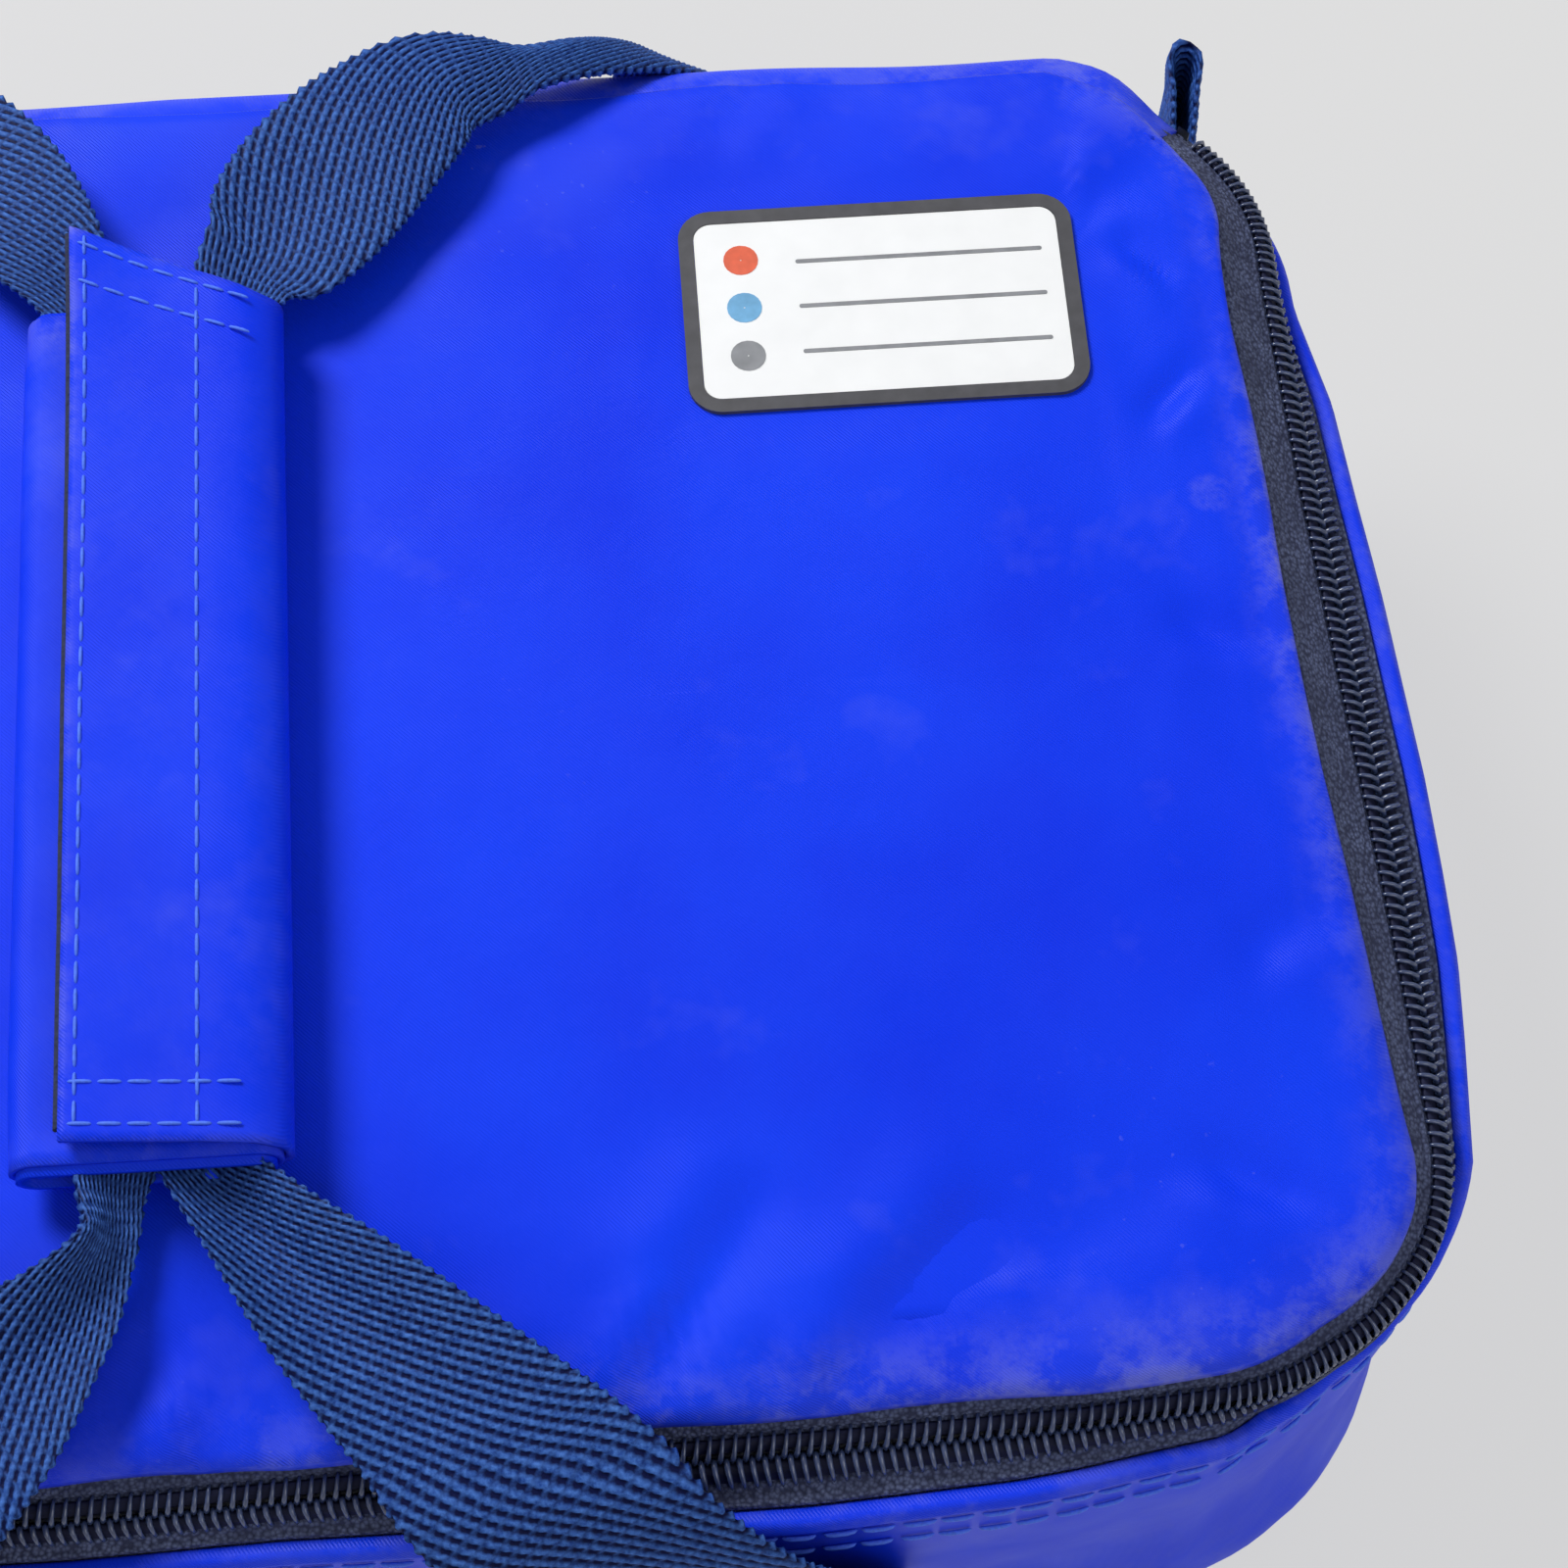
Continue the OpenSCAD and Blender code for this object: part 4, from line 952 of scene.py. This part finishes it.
def build_flap():
    """The flap's cloth and hems, the tape edge along its free side and both touch strips."""
    top = FLAP_Z + WRAP_T / 2
    path = [(FLAP_LEFT, top), (-2, top), (6, top), (9.6, top - 0.1), (12.6, top - 0.7), (14.9, top - 2.4),
            (15.6, top - 4.4), (15.1, top - 6.6), (13.0, top - 8.3), (12.0, top - 8.45)]
    laid = {"lift": flap_lift, "skew": flap_skew}

    def wear(y, x):
        at_ends = np.exp(-((52.5 - np.abs(y - GRIP_Y)) / 1.2) ** 2)
        at_edge = np.exp(-((x + 7.5) / 0.7) ** 2)
        return 0.05 + 0.5 * at_ends + 0.5 * at_edge

    flap = sheet_strip("flap_cloth", path, GRIP_LOW, GRIP_HIGH, WRAP_T, OUTER, "outer_cloth", steps=90,
                       wear=wear, **laid)
    dress(flap, "grip_flap", "flap")
    under = [(x, z - 0.75) for x, z in path[:4]] + [(13.0, top - 1.1), (15.0, top - 2.6)]
    for name, start in (("flap_hem_front", GRIP_LOW + 0.4), ("flap_hem_back", GRIP_HIGH - 7.4)):
        hem = sheet_strip(name, under, start, start + 7, 0.6, PLAIN_OUTER, "outer_cloth", steps=10, **laid)
        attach(hem, "flap")
    band = [(FLAP_LEFT - 0.6, top - 0.8), (FLAP_LEFT, top - 0.7), (FLAP_LEFT + 2, top - 0.7)]
    edge = sheet_strip("flap_edge_band", band, GRIP_LOW + 1.4, GRIP_HIGH - 0.4, 0.6, TOUCH, "touch_fastener",
                       steps=90, **laid)
    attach(edge, "flap")
    touch_strip("hook_tape", -8.1, HOOK_Z, "hook_strip", "right_handle")
    touch_strip("loop_tape", -6.4, LOOP_Z, "loop_strip", "flap")


def build_flap_seams():
    """Two long stitch rows, and two rows across at each end of the flap."""
    first, last = GRIP_LOW + 1.5, GRIP_HIGH - 1.5
    surface = FLAP_Z + WRAP_T + 0.02

    def on_flap(x, y):
        x, y = np.broadcast_arrays(np.asarray(x, float), np.asarray(y, float))
        return np.stack([x, y + flap_skew(y, x), surface + flap_lift(y, x)], -1)

    lines = [on_flap(x, np.linspace(first, last, 60)) for x in (-6.0, 6.7)]
    lines += [on_flap(np.linspace(-7.0, 12.4, 24), y)
              for y in (first + 0.3, first + 4.9, last - 0.3, last - 4.9)]
    rows = [(line, (0, 0, 1)) for line in lines]
    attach(stitches("flap_seams", rows, 3.1, radius=0.22, fill=0.84, softened=False), "flap")


# ---------------------------------------------------------------- tab, label, seams

def build_loop_tab():
    """A doubled tape at the zip's end, its opening upright, leaning towards the back."""
    turn = math.radians(90 - 90 * SEAM_TURN)
    lean = turn + math.radians(40)
    root = np.array([CORNER_X, CORNER_Y]) + (WALL_S - 1.5) * np.array([math.cos(turn), math.sin(turn)])
    along = np.array([math.cos(lean), math.sin(lean)])
    side = np.array([-along[1], along[0]])
    path = []
    for share, far in ((-1, 0), (-1, 5), (-1.05, 10), (-.95, 13.6), (-.6, 15.2), (0, 15.9), (.6, 15.2),
                       (.95, 13.6), (1.05, 10), (1, 5), (1, 0)):
        flat = root + along * far + side * share * 1.75
        path.append((flat[0], flat[1], 61 + far * 0.3, 0, 0, 1, 20, 0, 0))
    dress(webbing("loop_tab_tape", path, thickness=1.4), "loop_tab", "shell")


def rounded(width, height, radius, count=9):
    """Points round a rectangle with rounded corners."""
    x, y = width / 2 - radius, height / 2 - radius
    corners = ((x, y), (-x, y), (-x, -y), (x, -y))
    return np.concatenate([turned(corner, radius, 90 * k, 90 * k + 90, count)
                           for k, corner in enumerate(corners)])


def label_piece(name, outer, inner, low, high, material, slot):
    """A flat ring, or a plate if inner is shrunk to its middle, that lies on the lid."""
    layers = []
    for shape, lift in ((inner, low), (outer, low), (outer, high), (inner, high)):
        x, y = LABEL_X + shape[:, 0], LABEL_Y + shape[:, 1]
        layers.append(np.stack([x, y, label_plane(x, y) + lift], -1))
    faces = grid(4, len(outer), close_rows=True, close_cols=True)
    piece = make(name, np.stack(layers).reshape(-1, 3), faces, material, slot, flat=True)
    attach(piece, "lid")
    return piece


def build_label():
    """A white label in a dark border, with three plain lines and three plain dots."""
    outside = rounded(LABEL_W, LABEL_H, LABEL_R)
    window = rounded(LABEL_W - 2 * LABEL_EDGE, LABEL_H - 2 * LABEL_EDGE, LABEL_R - LABEL_EDGE)
    border = label_piece("label_frame", outside, window, -0.2, 0.62, LABEL_DARK, "label_border")
    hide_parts("label_border")
    sheet = label_piece("label_sheet", window * 0.997, window * 0.02, -0.2, 0.5, LABEL_WHITE, "label_face")
    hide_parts("label_face")
    marks = [(5, y, 30, 0.55, MARK_GREY) for y in (6.4, 0, -6.4)]
    marks += [(-16.6, y, 4.2, 4.2, dot) for y, dot in ((7, MARK_WARM), (0.2, MARK_COOL), (-6.6, MARK_GREY))]
    for k, (x, y, w, h, material) in enumerate(marks):
        shape = rounded(w, h, min(w, h) * 0.49, 6)
        whole, middle = shape + (x, y), shape * 0.05 + (x, y)
        label_piece(f"label_mark_{k}", whole, middle, 0.42, 0.56, material, "label_face")


def seam_row(start, end, count, out_by, z):
    """A stitch row on the walls, in short lines that each have their own outward direction."""
    centre, out = outline(np.linspace(start, end, count))
    line = np.column_stack([centre + out * (WALL_S + out_by), np.full(count, z)])
    return [(line[first:first + 7], (*out[min(first + 3, count - 1)], 0)) for first in range(0, count - 1, 6)]


def build_seams():
    """Two stitch rows under the bead, round the front and both sides, and one along the back."""
    rows = [part for z in (69.4, 62.6) for part in seam_row(ZIP_START + 1, ZIP_END - 1, 420, 0.25, z)]
    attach(stitches("wall_seams", rows, 4.1, radius=0.3, fill=0.9), "shell")
    rows = seam_row(ZIP_END + 3, AROUND + ZIP_START - 3, 240, 0.05, 68.4)
    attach(stitches("back_wall_seams", rows, 4.1, radius=0.24, fill=0.92), "shell")


def dress_cad():
    """The slider keeps its CAD shape; the end stops follow the softened zip."""
    for name in ("slider_body", "slider_pull"):
        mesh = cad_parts[name].data
        mesh.materials.clear()
        mesh.materials.append(METAL)
    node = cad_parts["zip_end_stops"]
    points = np.array([node.matrix_world @ v.co for v in node.data.vertices]) / MM
    faces = [list(face.vertices) for face in node.data.polygons]
    stops = make("zip_stops_metal", soften(points), faces, METAL, "slider_metal", flat=True)
    dress(stops, "zip_end_stops", "shell")


# ---------------------------------------------------------------- stage, light, camera

def build_stage():
    """A pale floor and backdrop, which glow only to camera, glossy and transmission rays."""
    material, tree, shader = new_material("stage_pale")
    shader.inputs["Base Color"].default_value = (0.74, 0.74, 0.74, 1)
    shader.inputs["Roughness"].default_value = 0.9
    shader.inputs["Specular IOR Level"].default_value = 0.1
    glow = add(tree, "ShaderNodeEmission", Strength=0.72)
    rays = tree.nodes.new("ShaderNodeLightPath")
    seen = sums(tree, "ADD", rays.outputs["Is Camera Ray"], rays.outputs["Is Glossy Ray"], clamp=True)
    seen = sums(tree, "ADD", seen, rays.outputs["Is Transmission Ray"], clamp=True)
    share = sums(tree, "MULTIPLY", seen, 0.82)
    mix = tree.nodes.new("ShaderNodeMixShader")
    tree.links.new(share, mix.inputs[0])
    tree.links.new(shader.outputs["BSDF"], mix.inputs[1])
    tree.links.new(glow.outputs["Emission"], mix.inputs[2])
    end = next(n for n in tree.nodes if n.type == "OUTPUT_MATERIAL")
    tree.links.new(mix.outputs["Shader"], end.inputs["Surface"])
    floor = bpy.data.meshes.new("floor")
    floor.from_pydata([(-5, -5, 0), (5, -5, 0), (5, 3, 0), (-5, 3, 0)], [], [(0, 1, 2, 3)])
    wall = bpy.data.meshes.new("backdrop")
    wall.from_pydata([(-5, 3, 0), (5, 3, 0), (5, 3, 4), (-5, 3, 4)], [], [(0, 1, 2, 3)])
    for mesh in (floor, wall):
        mesh.materials.append(material)
        obj = bpy.data.objects.new(mesh.name, mesh)
        bpy.context.scene.collection.objects.link(obj)


def area_light(name, place, target, size, watts):
    light = bpy.data.lights.new(name, "AREA")
    light.shape = "DISK"
    light.size = size
    light.energy = watts
    obj = bpy.data.objects.new(name, light)
    obj.location = place
    aim = Vector(target) - Vector(place)
    obj.rotation_euler = aim.to_track_quat("-Z", "Y").to_euler()
    bpy.context.scene.collection.objects.link(obj)


def build_light():
    """Even room light, a key from the back left and a weak fill from the front right."""
    world = bpy.data.worlds.new("soft_room")
    bpy.context.scene.world = world
    world.use_nodes = True
    back = world.node_tree.nodes["Background"]
    back.inputs["Color"].default_value = (0.985, 0.99, 1, 1)
    back.inputs["Strength"].default_value = 0.40
    area_light("key", (-0.45, 0.55, 0.95), (0.02, 0, 0.08), 0.45, 11.5)
    area_light("fill", (0.7, -0.7, 0.9), (0.05, 0, 0.06), 0.9, 3.0)


def build_camera():
    """The photo's camera, worked out from the box's straight edges."""
    camera = bpy.data.cameras.new("photo_camera")
    camera.sensor_width = 36
    camera.lens = 74.25
    camera.clip_start = 0.01
    camera.clip_end = 50
    obj = bpy.data.objects.new("photo_camera", camera)
    right = Vector((0.997, -0.0746, 0.0006))
    up = Vector((0.068, 0.911, 0.407))
    ahead = Vector((0.031, 0.406, -0.913))
    turn = Matrix((right, up, -ahead)).transposed()
    obj.matrix_world = Matrix.Translation(Vector((59.2, -159.6, 418.8)) * MM) @ turn.to_4x4()
    bpy.context.scene.collection.objects.link(obj)
    bpy.context.scene.camera = obj
    bpy.context.scene.view_settings.view_transform = "Standard"


build_walls()
build_base()
build_lid()
build_hinge()
build_zip()
build_handles()
build_strap_ends()
build_wrap()
build_flap()
build_flap_seams()
build_loop_tab()
build_label()
build_seams()
dress_cad()
build_stage()
build_light()
build_camera()

bpy.context.view_layer.update()
